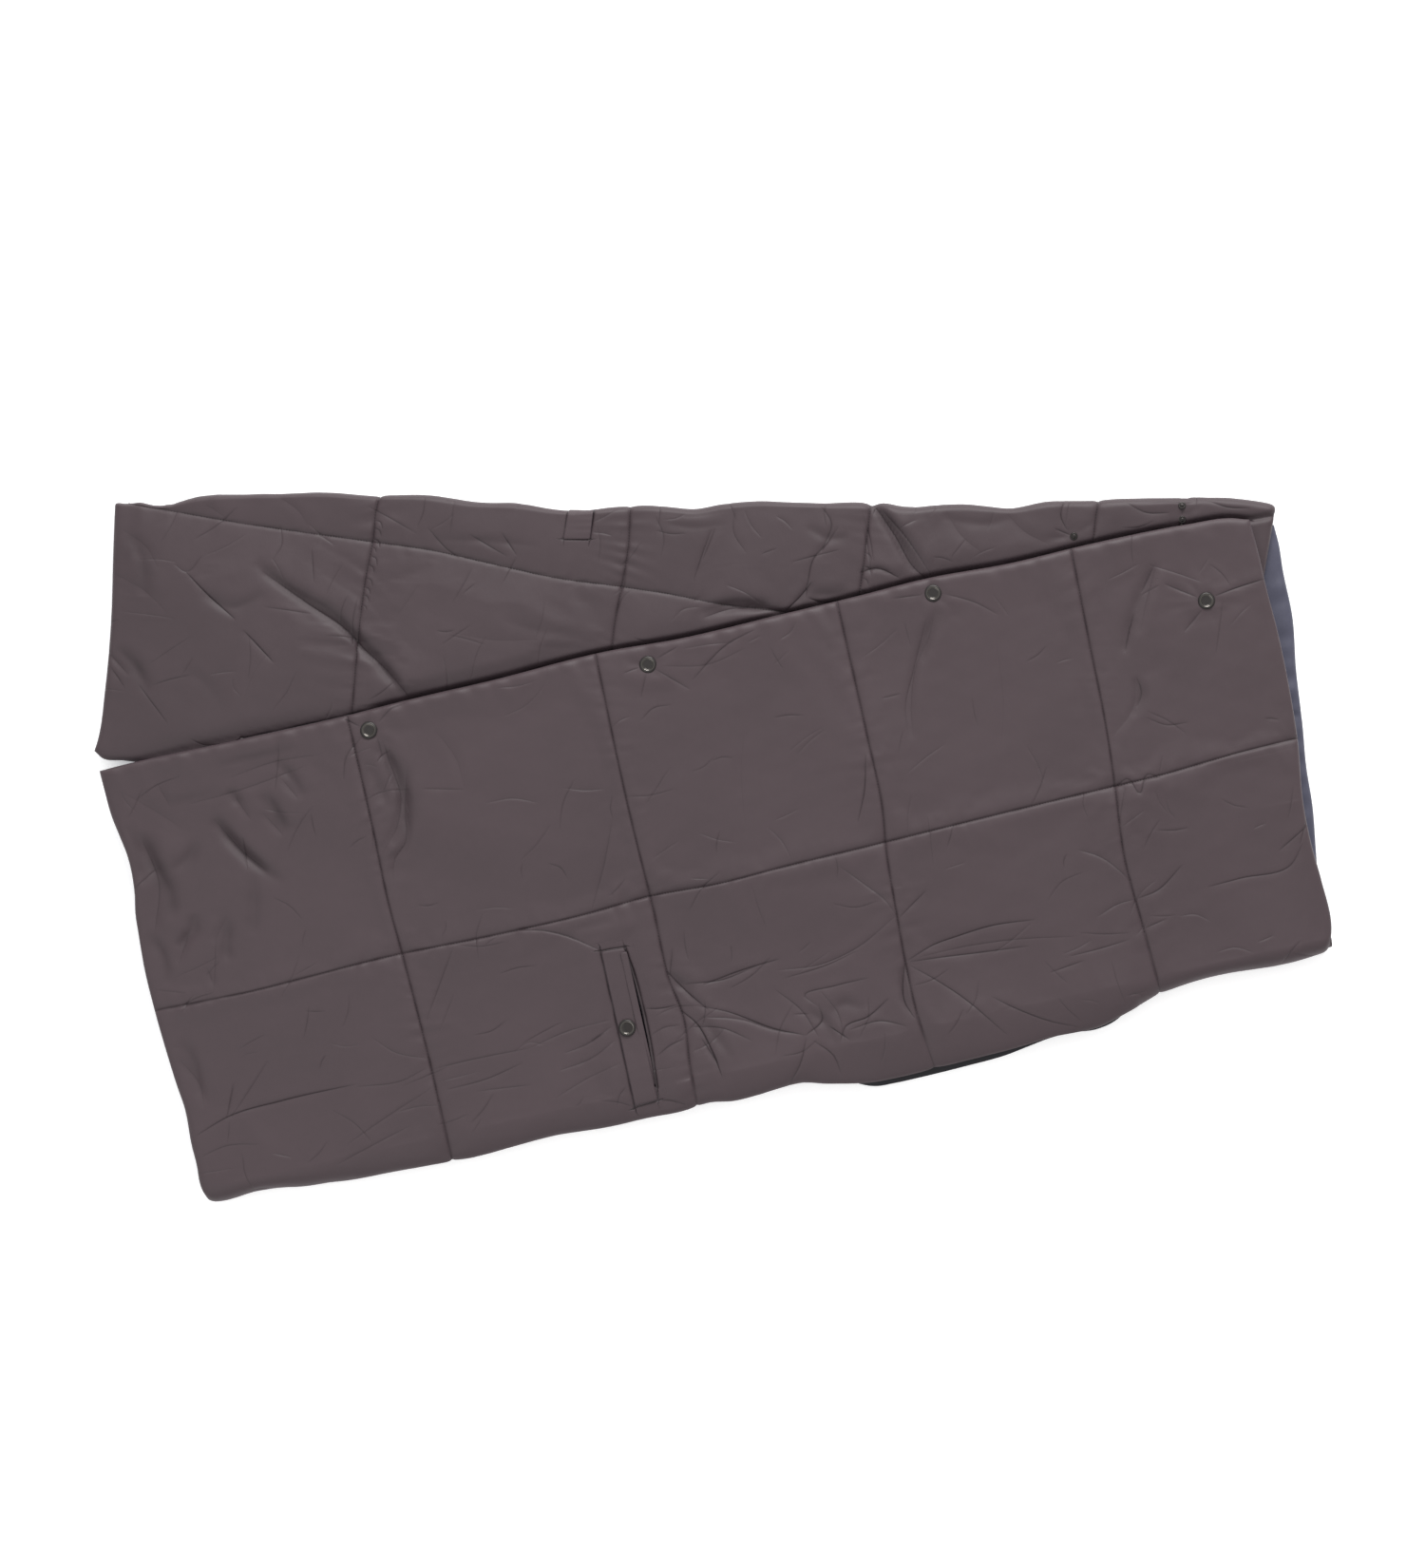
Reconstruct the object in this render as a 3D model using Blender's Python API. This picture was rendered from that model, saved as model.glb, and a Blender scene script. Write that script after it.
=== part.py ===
"""Infrared sauna blanket: one quilted heated sheet, folded in three over the body, lying shut.

Plan axes: X runs along the front fold from the head end to the foot end, Y runs from the front fold
towards the rear fold, Z is up. The origin is the centre of the whole outline, on the floor.
The sheet is a back panel, an inner flap folded over it at the rear fold, and a front flap folded over
both at the front fold. The rear fold slants, so the shut blanket tapers towards the feet.
"""

import math

import bmesh
import bpy
from mathutils import Matrix, Vector

# Outline of the shut blanket in plan, metres, from the front flap's head edge (x = 0) and a line
# just inside the front fold (y = 0).
FOLD_Y = -0.012
FOLD_HEAD_X = 0.016
FOLD_FOOT_X = 1.749
FLAP_LENGTH = 1.788
FLAP_DEPTH_HEAD = 0.670
FLAP_DEPTH_FOOT = 0.663
HEAD_CORNER = (0.106, 1.067)
FOOT_CORNER = (1.821, 0.677)
FOOT_BEND = (1.767, 0.140)
INNER_FREE_HEAD = (-0.009, 0.697)
INNER_FREE_FOOT = (1.560, 0.042)

FRONT_PLAN = [
    (FOLD_HEAD_X, FOLD_Y),
    (FOLD_FOOT_X, FOLD_Y),
    (FLAP_LENGTH, FLAP_DEPTH_FOOT),
    (0.0, FLAP_DEPTH_HEAD),
]
BACK_PLAN = [(FOLD_HEAD_X, FOLD_Y), (FOLD_FOOT_X, FOLD_Y), FOOT_BEND, FOOT_CORNER, HEAD_CORNER]
INNER_PLAN = [INNER_FREE_HEAD, INNER_FREE_FOOT, FOOT_CORNER, HEAD_CORNER]

# Layers of each quilted panel, outer face to inner face.
SHELL = 0.0012
BATTING = 0.0068
CARRIER = 0.0008
WIRE_DIAMETER = 0.0018
LINING = 0.0012
GAP = 0.0003
PANEL = SHELL + BATTING + CARRIER + WIRE_DIAMETER + LINING + 4 * GAP
EDGE_WALL = 0.0012
FILL_INSET = 0.003

# Heights of the three stacked panels.
UNDER_GAP = 0.0014
OVER_GAP = 0.0040
INNER_Z = PANEL + UNDER_GAP
FRONT_Z = INNER_Z + PANEL + OVER_GAP
TOP_Z = FRONT_Z + PANEL
FRONT_FOLD_Z = (PANEL + FRONT_Z) / 2

# Heating wire runs.
RUN_SPACING = 0.055
RUN_MARGIN = 0.040
BEND_POINTS = 3

# Arm slot in the front flap, along Y, with its stitched welt at the hinge side.
SLOT_X = (0.681, 0.709)
SLOT_Y = (0.014, 0.239)
FACING = 0.0010
WELT_X = (0.676, 0.713)
WELT_Y = (0.008, 0.245)
WELT_THICK = 0.0020
TAB_Y = (0.108, 0.134)
TAB_THICK = 0.0015
TAB_TOP = TOP_Z - 0.0057
SLOT_SNAP = (0.6945, 0.121)

# Arm slot across the rear fold: a notch in the inner flap and a longer one in the back panel.
REAR_SLOT_FOLD_X = 0.802
REAR_SLOT_WIDTH = 0.024
REAR_WELT_WIDTH = 0.037
REAR_SLOT_UPPER = 0.058
REAR_SLOT_LOWER = 0.180
REAR_SLOT_LEAN = math.radians(22.3)
REAR_SLOT_LOWER_LEAN = math.radians(-3.3)

# Snap fasteners.
CAP_RADIUS = 0.0110
CAP_HEIGHT = 0.0024
POST_RADIUS = 0.0020
SOCKET_RADIUS = 0.0085
SOCKET_HEIGHT = 0.0044
CAVITY_RADIUS = 0.0038
CAVITY_DEPTH = 0.0034
STUD_RADIUS = 0.0058
STUD_HEIGHT = 0.0033
STUD_BALL = 0.0029
ROUND_STEPS = 16
FREE_EDGE_SNAPS = (0.409, 0.840, 1.282)
SNAP_EDGE_INSET = 0.020
FOOT_SNAP = (1.683, 0.558)
STRAY_STUDS = ((1.511, 0.6925), (1.674, 0.6790), (1.672, 0.7005))

# Power inlet on the back panel, under the front flap at the foot end.
INLET_CENTRE = (1.722, 0.075)
INLET_BODY = (0.034, 0.028, 0.0125)
INLET_FLANGE = (0.044, 0.046, 0.0020)
INLET_CAVITY = (0.018, 0.018, 0.0085)
INLET_PATCH = (0.056, 0.062, 0.0012)
PIN_RADIUS = 0.0010
PIN_LENGTH = 0.0060
PIN_PITCH = 0.0050
RIVET_RADIUS = 0.0022
LEAD_RADIUS = 0.0018
SPLICE_RADIUS = 0.0022
SPLICE_LENGTH = 0.016
SPLICE_PITCH = 0.0065
SPLICE_POCKET = (1.630, 0.075)
CUTOUT_SIZE = (0.020, 0.008, 0.0040)
CUTOUT_PLACE = (0.900, 0.350)
SENSOR_RADIUS = 0.0018
SENSOR_LENGTH = 0.024
SENSOR_PLACE = (1.250, 0.350)

ALL_PLAN = FRONT_PLAN + BACK_PLAN + INNER_PLAN
MID_X = (min(p[0] for p in ALL_PLAN) + max(p[0] for p in ALL_PLAN)) / 2
MID_Y = (min(p[1] for p in ALL_PLAN) + max(p[1] for p in ALL_PLAN)) / 2

COLOURS = {
    "shell": ((0.095, 0.072, 0.079), 0.55, 0.0),
    "lining": ((0.085, 0.085, 0.120), 0.60, 0.0),
    "batting": ((0.80, 0.79, 0.76), 0.95, 0.0),
    "carrier": ((0.60, 0.60, 0.58), 0.90, 0.0),
    "wire": ((0.45, 0.10, 0.08), 0.50, 0.0),
    "snap": ((0.16, 0.15, 0.14), 0.30, 1.0),
    "plastic": ((0.03, 0.03, 0.03), 0.45, 0.0),
    "brass": ((0.75, 0.58, 0.30), 0.30, 1.0),
}


def clear_scene():
    for old in list(bpy.data.objects):
        bpy.data.objects.remove(old, do_unlink=True)


def material(name):
    found = bpy.data.materials.get(name)
    if found:
        return found
    colour, roughness, metallic = COLOURS[name]
    made = bpy.data.materials.new(name)
    made.use_nodes = True
    shader = made.node_tree.nodes["Principled BSDF"]
    shader.inputs["Base Color"].default_value = (*colour, 1.0)
    shader.inputs["Roughness"].default_value = roughness
    shader.inputs["Metallic"].default_value = metallic
    return made


def centred(points):
    """Plan points measured from the middle of the whole outline."""
    return [Vector((x - MID_X, y - MID_Y)) for x, y in points]


def new_object(name, bm, finish):
    bmesh.ops.recalc_face_normals(bm, faces=bm.faces)
    mesh = bpy.data.meshes.new(name)
    bm.to_mesh(mesh)
    bm.free()
    obj = bpy.data.objects.new(name, mesh)
    bpy.context.scene.collection.objects.link(obj)
    if finish:
        mesh.materials.append(material(finish))
    return obj


def helper(obj):
    obj.hide_render = True
    obj.display_type = "WIRE"
    return obj


def modify(obj, other, operation):
    """Cuts other out of obj, or joins it on, with an exact Boolean."""
    boolean = obj.modifiers.new(operation.lower(), "BOOLEAN")
    boolean.operation = operation
    boolean.object = other
    boolean.solver = "EXACT"
    return obj


def inset(corners, distance):
    """A convex outline moved inwards by distance."""
    count = len(corners)
    lines = []
    for i in range(count):
        a, b = corners[i], corners[(i + 1) % count]
        along = (b - a).normalized()
        inward = Vector((-along.y, along.x))
        lines.append((a + inward * distance, along))
    made = []
    for i in range(count):
        (p, d), (q, e) = lines[i - 1], lines[i]
        cross = d.x * e.y - d.y * e.x
        t = ((q.x - p.x) * e.y - (q.y - p.y) * e.x) / cross
        made.append(p + d * t)
    return made


def add_prism(bm, corners, low, high):
    bottom = [bm.verts.new((p.x, p.y, low)) for p in corners]
    top = [bm.verts.new((p.x, p.y, high)) for p in corners]
    bm.faces.new(list(reversed(bottom)))
    bm.faces.new(top)
    count = len(corners)
    for i in range(count):
        j = (i + 1) % count
        bm.faces.new((bottom[i], bottom[j], top[j], top[i]))


def prism(name, corners, low, high, finish=None):
    bm = bmesh.new()
    add_prism(bm, corners, min(low, high), max(low, high))
    return new_object(name, bm, finish)


def tray(name, corners, outer, inner_face, rim, finish):
    """A shallow open tray: its floor lies from outer to inner_face, and its walls reach rim."""
    bm = bmesh.new()
    inside = inset(corners, EDGE_WALL)
    rings = [
        [bm.verts.new((p.x, p.y, z)) for p in outline]
        for outline, z in ((corners, outer), (corners, rim), (inside, rim), (inside, inner_face))
    ]
    bm.faces.new(rings[0])
    bm.faces.new(rings[3])
    count = len(corners)
    for ring, following in zip(rings, rings[1:]):
        for i in range(count):
            j = (i + 1) % count
            bm.faces.new((ring[i], ring[j], following[j], following[i]))
    return new_object(name, bm, finish)


def rectangle(x_range, y_range):
    (x0, x1), (y0, y1) = x_range, y_range
    return centred([(x0, y0), (x1, y0), (x1, y1), (x0, y1)])


def around(centre, size):
    """A rectangle of that size around a plan point."""
    (x, y), (w, d) = centre, size[:2]
    return rectangle((x - w / 2, x + w / 2), (y - d / 2, y + d / 2))


def add_turned(bm, profile, centre, steps=ROUND_STEPS, turn=None):
    """Turns a profile of (radius, height) points, from axis to axis, around Z at centre."""
    turn = turn or Matrix.Identity(4)
    rings = []
    for radius, height in profile:
        if radius == 0:
            rings.append([bm.verts.new(centre + turn @ Vector((0, 0, height)))])
            continue
        angles = [2 * math.pi * k / steps for k in range(steps)]
        ring = [Vector((radius * math.cos(a), radius * math.sin(a), height)) for a in angles]
        rings.append([bm.verts.new(centre + turn @ p) for p in ring])
    for ring, following in zip(rings, rings[1:]):
        for k in range(steps):
            m = (k + 1) % steps
            corners = [ring[k % len(ring)], ring[m % len(ring)]]
            corners += [following[m % len(following)], following[k % len(following)]]
            bm.faces.new(list(dict.fromkeys(corners)))


def turned_cutter(name, profile, places, height, steps=ROUND_STEPS):
    """One cutter with a turned solid at each place."""
    bm = bmesh.new()
    for place in centred(places):
        add_turned(bm, profile, Vector((place.x, place.y, height)), steps)
    return helper(new_object(name, bm, None))


def fasteners(name, profile, places, height, finish, steps=ROUND_STEPS, sideways=False):
    """One object for each place, placed by its location, all with one shared mesh."""
    bm = bmesh.new()
    add_turned(bm, profile, Vector((0, 0, 0)), steps)
    label = name if len(places) == 1 else f"{name}_1"
    first = new_object(label, bm, finish)
    first.data.shade_smooth()
    first.data.set_sharp_from_angle(angle=math.radians(40))
    made = [first]
    for number in range(2, len(places) + 1):
        again = bpy.data.objects.new(f"{name}_{number}", first.data)
        bpy.context.scene.collection.objects.link(again)
        made.append(again)
    for obj, place in zip(made, centred(places)):
        obj.location = (place.x, place.y, height)
        obj.rotation_euler.y = math.pi / 2 if sideways else 0.0
    return made


def rod_profile(radius, length):
    return [(0, 0), (radius, 0), (radius, length), (0, length)]


def holes(name, radius, places, low, high):
    """A cutter of round rods."""
    return turned_cutter(name, rod_profile(radius, high - low), places, low)


def hinge_at(name, place, height, along, pieces):
    """An empty on a hinge's axis, its X along the axis, that carries the pieces that turn on it."""
    pivot = bpy.data.objects.new(name, None)
    bpy.context.scene.collection.objects.link(pivot)
    point = centred([place])[0]
    pivot.location = (point.x, point.y, height)
    pivot.rotation_euler.z = along
    bpy.context.view_layer.update()
    for piece in pieces:
        piece.parent = pivot
        piece.matrix_parent_inverse = pivot.matrix_world.inverted()
    return pivot


def span_at(corners, y):
    """Where a convex outline is crossed by the line at that y."""
    crossings = []
    for i in range(len(corners)):
        a, b = corners[i], corners[(i + 1) % len(corners)]
        if (a.y - y) * (b.y - y) < 0:
            crossings.append(a.x + (b.x - a.x) * (y - a.y) / (b.y - a.y))
    return min(crossings), max(crossings)


def serpentine(corners, grain, first, last):
    """Points of one wire that runs to and fro along the grain, from first to last across it."""
    turn = Matrix.Rotation(-grain, 2)
    local = [turn @ c for c in corners]
    base = min(c.y for c in local)
    runs = int((last - first) / RUN_SPACING)
    points = []
    for k in range(runs + 1):
        y = base + first + k * (last - first) / runs
        low, high = span_at(local, y)
        ends = [low + RUN_MARGIN, high - RUN_MARGIN]
        if k % 2:
            ends.reverse()
        points += [Vector((x, y)) for x in ends]
    rounded = [points[0]]
    for k in range(1, len(points) - 2, 2):
        a, b = points[k], points[k + 1]
        side = 1 if k % 4 == 1 else -1
        x = min(a.x, b.x) if side > 0 else max(a.x, b.x)
        radius = (b.y - a.y) / 2
        for step in range(BEND_POINTS + 1):
            angle = math.pi * step / BEND_POINTS - math.pi / 2
            offset = Vector((side * math.cos(angle), math.sin(angle) + 1)) * radius
            rounded.append(Vector((x, a.y)) + offset)
    rounded.append(points[-1])
    back = Matrix.Rotation(grain, 2)
    return [back @ p for p in rounded]


def wire(name, points, radius, finish, resolution=0):
    """A solid round wire through 3D points."""
    curve = bpy.data.curves.new(name, "CURVE")
    curve.dimensions = "3D"
    spline = curve.splines.new("POLY")
    spline.points.add(len(points) - 1)
    for slot, point in zip(spline.points, points):
        slot.co = (*point, 1)
    curve.bevel_depth = radius
    curve.bevel_resolution = resolution
    curve.use_fill_caps = True
    curve.materials.append(material(finish))
    made = bpy.data.objects.new(name, curve)
    bpy.context.scene.collection.objects.link(made)
    return made


def panel(name, plan, outer, inward, grain, zone):
    """The five layers of one quilted panel. inward is +1 where they stack upwards from outer."""
    corners = centred(plan)
    fill = inset(corners, FILL_INSET)

    def level(depth):
        return outer + inward * depth

    depth = SHELL
    rim = level(PANEL - LINING - GAP)
    layers = {"outer_shell": tray(f"{name}_outer_shell", corners, outer, level(depth), rim, "shell")}
    depth += GAP
    layers["batting"] = prism(f"{name}_batting", fill, level(depth), level(depth + BATTING), "batting")
    depth += BATTING + GAP
    layers["carrier"] = prism(
        f"{name}_heater_carrier", fill, level(depth), level(depth + CARRIER), "carrier"
    )
    depth += CARRIER + GAP
    height = level(depth + WIRE_DIAMETER / 2)
    route = [Vector((p.x, p.y, height)) for p in serpentine(corners, grain, *zone)]
    layers["wire"] = wire(f"{name}_heating_wire", route, WIRE_DIAMETER / 2, "wire")
    depth += WIRE_DIAMETER + GAP
    layers["lining"] = prism(f"{name}_lining", corners, level(depth), level(depth + LINING), "lining")
    return layers


def cap_profile(post):
    """A snap cap with a raised ring, a sunk face and a post that reaches down through the fabric."""
    ring = CAP_RADIUS
    return [
        (0, -post),
        (POST_RADIUS, -post),
        (POST_RADIUS, GAP),
        (ring, GAP),
        (ring, CAP_HEIGHT * 0.60),
        (ring * 0.88, CAP_HEIGHT),
        (ring * 0.74, CAP_HEIGHT * 0.80),
        (ring * 0.66, CAP_HEIGHT * 0.50),
        (0, CAP_HEIGHT * 0.55),
    ]


def socket_profile(height):
    """A snap socket, open downwards, with its face at 0 and its back at height."""
    return [
        (0, CAVITY_DEPTH),
        (CAVITY_RADIUS, CAVITY_DEPTH),
        (CAVITY_RADIUS, 0),
        (SOCKET_RADIUS * 0.85, 0),
        (SOCKET_RADIUS, 0.0008),
        (SOCKET_RADIUS, height),
        (0, height),
    ]


def stud_profile():
    """A snap stud: a flange with a waisted ball on it."""
    return [
        (0, 0),
        (STUD_RADIUS, 0),
        (STUD_RADIUS, 0.0008),
        (STUD_BALL * 0.80, 0.0008),
        (STUD_BALL, STUD_HEIGHT * 0.75),
        (STUD_BALL * 0.70, STUD_HEIGHT),
        (0, STUD_HEIGHT),
    ]


def stud_post_profile(length):
    """The plate and shank behind a stud, from the lining up to the stud."""
    return [(0, 0), (STUD_RADIUS, 0), (STUD_RADIUS, 0.0008), (0.0015, 0.0008), (0.0015, length), (0, length)]


def front_flap():
    """The front flap and its free-edge snaps."""
    zone = (SLOT_Y[1] + 0.030, FOOT_SNAP[1] - 0.020)
    layers = panel("front_flap", FRONT_PLAN, TOP_Z, -1, 0.0, zone)
    slot = helper(prism("front_slot_cutter", rectangle(SLOT_X, SLOT_Y), FRONT_Z - 0.002, TOP_Z + 0.002))
    for layer in ("outer_shell", "batting", "carrier", "lining"):
        modify(layers[layer], slot, "DIFFERENCE")

    slope = (FLAP_DEPTH_FOOT - FLAP_DEPTH_HEAD) / FLAP_LENGTH
    edge = [(x, FLAP_DEPTH_HEAD + slope * x - SNAP_EDGE_INSET) for x in FREE_EDGE_SNAPS]
    places = edge + [FOOT_SNAP]
    socket_low = FRONT_Z + GAP
    post = TOP_Z - socket_low - SOCKET_HEIGHT - GAP
    caps = fasteners("front_snap_cap", cap_profile(post), places, TOP_Z, "snap")
    sockets = fasteners("front_snap_socket", socket_profile(SOCKET_HEIGHT), places, socket_low, "snap")
    post_holes = holes("front_post_holes", POST_RADIUS + GAP, places, TOP_Z - 0.005, TOP_Z + 0.002)
    modify(layers["outer_shell"], post_holes, "DIFFERENCE")
    roof = TOP_Z - SHELL - GAP / 2
    socket_holes = holes("front_socket_holes", SOCKET_RADIUS + GAP, places, FRONT_Z - 0.002, roof)
    for layer in ("batting", "carrier", "lining"):
        modify(layers[layer], socket_holes, "DIFFERENCE")
    return list(layers.values()) + caps + sockets


def front_arm_slot():
    """The facing that lines the slot, and the tab and stud across it."""
    outer = rectangle((SLOT_X[0] + GAP, SLOT_X[1] - GAP), (SLOT_Y[0] + GAP, SLOT_Y[1] - GAP))
    facing = prism("front_arm_slot_facing", outer, FRONT_Z, TOP_Z, "shell")
    bore = helper(prism("front_facing_cutter", inset(outer, FACING), FRONT_Z - 0.002, TOP_Z + 0.002))
    modify(facing, bore, "DIFFERENCE")
    inner_x = (SLOT_X[0] + FACING + 2 * GAP, SLOT_X[1] - FACING - 2 * GAP)
    tab = prism("front_arm_slot_tab", rectangle(inner_x, TAB_Y), TAB_TOP - TAB_THICK, TAB_TOP, "shell")
    stud = fasteners("front_arm_slot_stud", stud_profile(), [SLOT_SNAP], TAB_TOP + GAP, "snap")
    return [facing, tab] + stud


def front_arm_slot_welt():
    """The welt that lies over the slot, stitched along one side, with its snap."""
    low = TOP_Z + GAP
    top = low + WELT_THICK
    welt = prism("front_arm_slot_welt", rectangle(WELT_X, WELT_Y), low, top, "shell")
    hole = holes("welt_post_hole", POST_RADIUS + GAP, [SLOT_SNAP], low - 0.001, top + 0.002)
    modify(welt, hole, "DIFFERENCE")
    cap = fasteners("front_arm_slot_snap_cap", cap_profile(WELT_THICK - GAP), [SLOT_SNAP], top, "snap")
    socket_low = TAB_TOP + GAP + 0.0010
    height = TOP_Z - socket_low
    socket = fasteners("front_arm_slot_snap_socket", socket_profile(height), [SLOT_SNAP], socket_low, "snap")
    return [welt] + cap + socket


def strip_plan(start, lean, width, length):
    """Plan corners of a strip that runs down from start, at an angle from the Y axis."""
    along = -Vector((math.sin(lean), math.cos(lean)))
    across = Vector((-along.y, along.x)) * (width / 2)
    origin = Vector(start)
    end = origin + along * length
    return [tuple(c) for c in (origin - across, end - across, end + across, origin + across)]


def beyond_fold(lean, reach):
    """The point where a strip that leans that way starts, so far outside the rear fold."""
    (x0, y0), (x1, y1) = HEAD_CORNER, FOOT_CORNER
    x = REAR_SLOT_FOLD_X
    y = y0 + (x - x0) * (y1 - y0) / (x1 - x0)
    return Vector((x, y)) + Vector((math.sin(lean), math.cos(lean))) * reach


def slot_binding(name, shell, plan, start, lean, length, low, high):
    """Turns the shell down round a slot at the rear fold, so that the filling is closed off from it."""
    strip = strip_plan(start, lean, REAR_SLOT_WIDTH + 2 * EDGE_WALL, length + EDGE_WALL)
    binding = helper(prism(name, centred(strip), low, high))
    outline = helper(prism(f"{name}_trimmer", inset(centred(plan), EDGE_WALL / 2), low - 0.001, high + 0.001))
    modify(binding, outline, "INTERSECT")
    modify(shell, binding, "UNION")


def inner_flap():
    """The inner flap, its studs and its end of the rear arm slot."""
    run = Vector(INNER_FREE_FOOT) - Vector(INNER_FREE_HEAD)
    grain = math.atan2(run.y, run.x)
    top = INNER_Z + PANEL
    layers = panel("inner_flap", INNER_PLAN, top, -1, grain, (RUN_MARGIN, 0.350))

    along = run.normalized()
    across = Vector((-along.y, along.x))
    edge = [Vector(INNER_FREE_HEAD) + along * x + across * SNAP_EDGE_INSET for x in FREE_EDGE_SNAPS]
    places = [(p.x, p.y) for p in edge] + list(STRAY_STUDS)
    studs = fasteners("inner_snap_stud", stud_profile(), places, top + GAP, "snap", 12)
    plate_low = INNER_Z - GAP - 0.0008
    length = top - plate_low
    posts = fasteners("inner_stud_post", stud_post_profile(length), places, plate_low, "snap", 12)
    post_holes = holes("inner_post_holes", 0.0018, places, INNER_Z - 0.001, top + 0.001)

    lean = REAR_SLOT_LEAN
    reach = 0.020
    start = beyond_fold(lean, reach)
    length = REAR_SLOT_UPPER + reach
    rim = top - (PANEL - LINING - GAP)
    slot_binding("inner_slot_binding", layers["outer_shell"], INNER_PLAN, start, lean, length, rim, top - GAP)
    plan = strip_plan(start, lean, REAR_SLOT_WIDTH, length)
    notch = helper(prism("inner_notch_cutter", centred(plan), INNER_Z - 0.001, top + 0.001))
    clearance = EDGE_WALL + GAP
    plan = strip_plan(start, lean, REAR_SLOT_WIDTH + 2 * clearance, length + clearance)
    fill_notch = helper(prism("inner_fill_notch_cutter", centred(plan), INNER_Z - 0.001, top + 0.001))
    cuts = {"outer_shell": notch, "batting": fill_notch, "carrier": fill_notch, "lining": notch}
    for layer, cut in cuts.items():
        modify(layers[layer], post_holes, "DIFFERENCE")
        modify(layers[layer], cut, "DIFFERENCE")

    low = top + GAP
    plan = strip_plan(beyond_fold(REAR_SLOT_LEAN, 0), REAR_SLOT_LEAN, REAR_WELT_WIDTH, REAR_SLOT_UPPER)
    welt = prism("rear_arm_slot_welt_upper", centred(plan), low, low + WELT_THICK, "shell")
    outside = [HEAD_CORNER, FOOT_CORNER, (FOOT_CORNER[0], FOOT_CORNER[1] + 0.1), (HEAD_CORNER[0], HEAD_CORNER[1] + 0.1)]
    trim = helper(prism("rear_welt_trimmer", centred(outside), low - 0.001, low + WELT_THICK + 0.001))
    modify(welt, trim, "DIFFERENCE")
    return list(layers.values()) + studs + posts + [welt]


def back():
    """The back panel with its end of the rear arm slot."""
    layers = panel("back", BACK_PLAN, 0.0, 1, 0.0, (RUN_MARGIN, 0.660))
    lean = REAR_SLOT_LOWER_LEAN
    reach = 0.020
    start = beyond_fold(lean, reach)
    length = REAR_SLOT_LOWER + reach
    rim = PANEL - LINING - GAP
    slot_binding("back_slot_binding", layers["outer_shell"], BACK_PLAN, start, lean, length, GAP, rim)
    plan = strip_plan(start, lean, REAR_SLOT_WIDTH, length)
    notch = helper(prism("back_notch_cutter", centred(plan), SHELL / 2, PANEL + 0.001))
    clearance = EDGE_WALL + GAP
    plan = strip_plan(start, lean, REAR_SLOT_WIDTH + 2 * clearance, length + clearance)
    fill_notch = helper(prism("back_fill_notch_cutter", centred(plan), SHELL / 2, PANEL + 0.001))
    plan = strip_plan(start, lean, REAR_WELT_WIDTH + 4 * GAP, REAR_SLOT_LOWER + reach + 0.008)
    pocket = helper(prism("back_welt_pocket_cutter", centred(plan), -0.001, SHELL + GAP / 2))
    modify(layers["outer_shell"], notch, "DIFFERENCE")
    modify(layers["outer_shell"], pocket, "DIFFERENCE")
    for layer in ("batting", "carrier"):
        modify(layers[layer], fill_notch, "DIFFERENCE")
    modify(layers["lining"], notch, "DIFFERENCE")
    plan = strip_plan(beyond_fold(lean, -0.008), lean, REAR_WELT_WIDTH, REAR_SLOT_LOWER - 2 * GAP)
    prism("rear_arm_slot_welt_lower", centred(plan), 0.0, SHELL, "shell")
    sensors(layers)
    power_inlet(layers)


def sensors(layers):
    """The thermal cut-out and the temperature sensor, each in a pocket of the batting."""
    roof = SHELL + GAP + BATTING
    size = (CUTOUT_SIZE[0] + 4 * GAP, CUTOUT_SIZE[1] + 4 * GAP)
    low = roof - CUTOUT_SIZE[2] - GAP
    pocket = helper(prism("cutout_pocket", around(CUTOUT_PLACE, size), low - GAP, roof + GAP / 2))
    modify(layers["batting"], pocket, "DIFFERENCE")
    prism("thermal_cutout", around(CUTOUT_PLACE, CUTOUT_SIZE), low, low + CUTOUT_SIZE[2], "plastic")

    size = (SENSOR_LENGTH + 4 * GAP, 2 * SENSOR_RADIUS + 4 * GAP)
    middle = roof - SENSOR_RADIUS - GAP
    low = middle - SENSOR_RADIUS - GAP
    pocket = helper(prism("sensor_pocket", around(SENSOR_PLACE, size), low, roof + GAP / 2))
    modify(layers["batting"], pocket, "DIFFERENCE")
    profile = [(0, 0), (SENSOR_RADIUS, 0), (SENSOR_RADIUS, SENSOR_LENGTH * 0.85)]
    profile += [(SENSOR_RADIUS * 0.6, SENSOR_LENGTH), (0, SENSOR_LENGTH)]
    start = (SENSOR_PLACE[0] - SENSOR_LENGTH / 2, SENSOR_PLACE[1])
    fasteners("temperature_sensor", profile, [start], middle, "plastic", 10, True)


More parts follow.
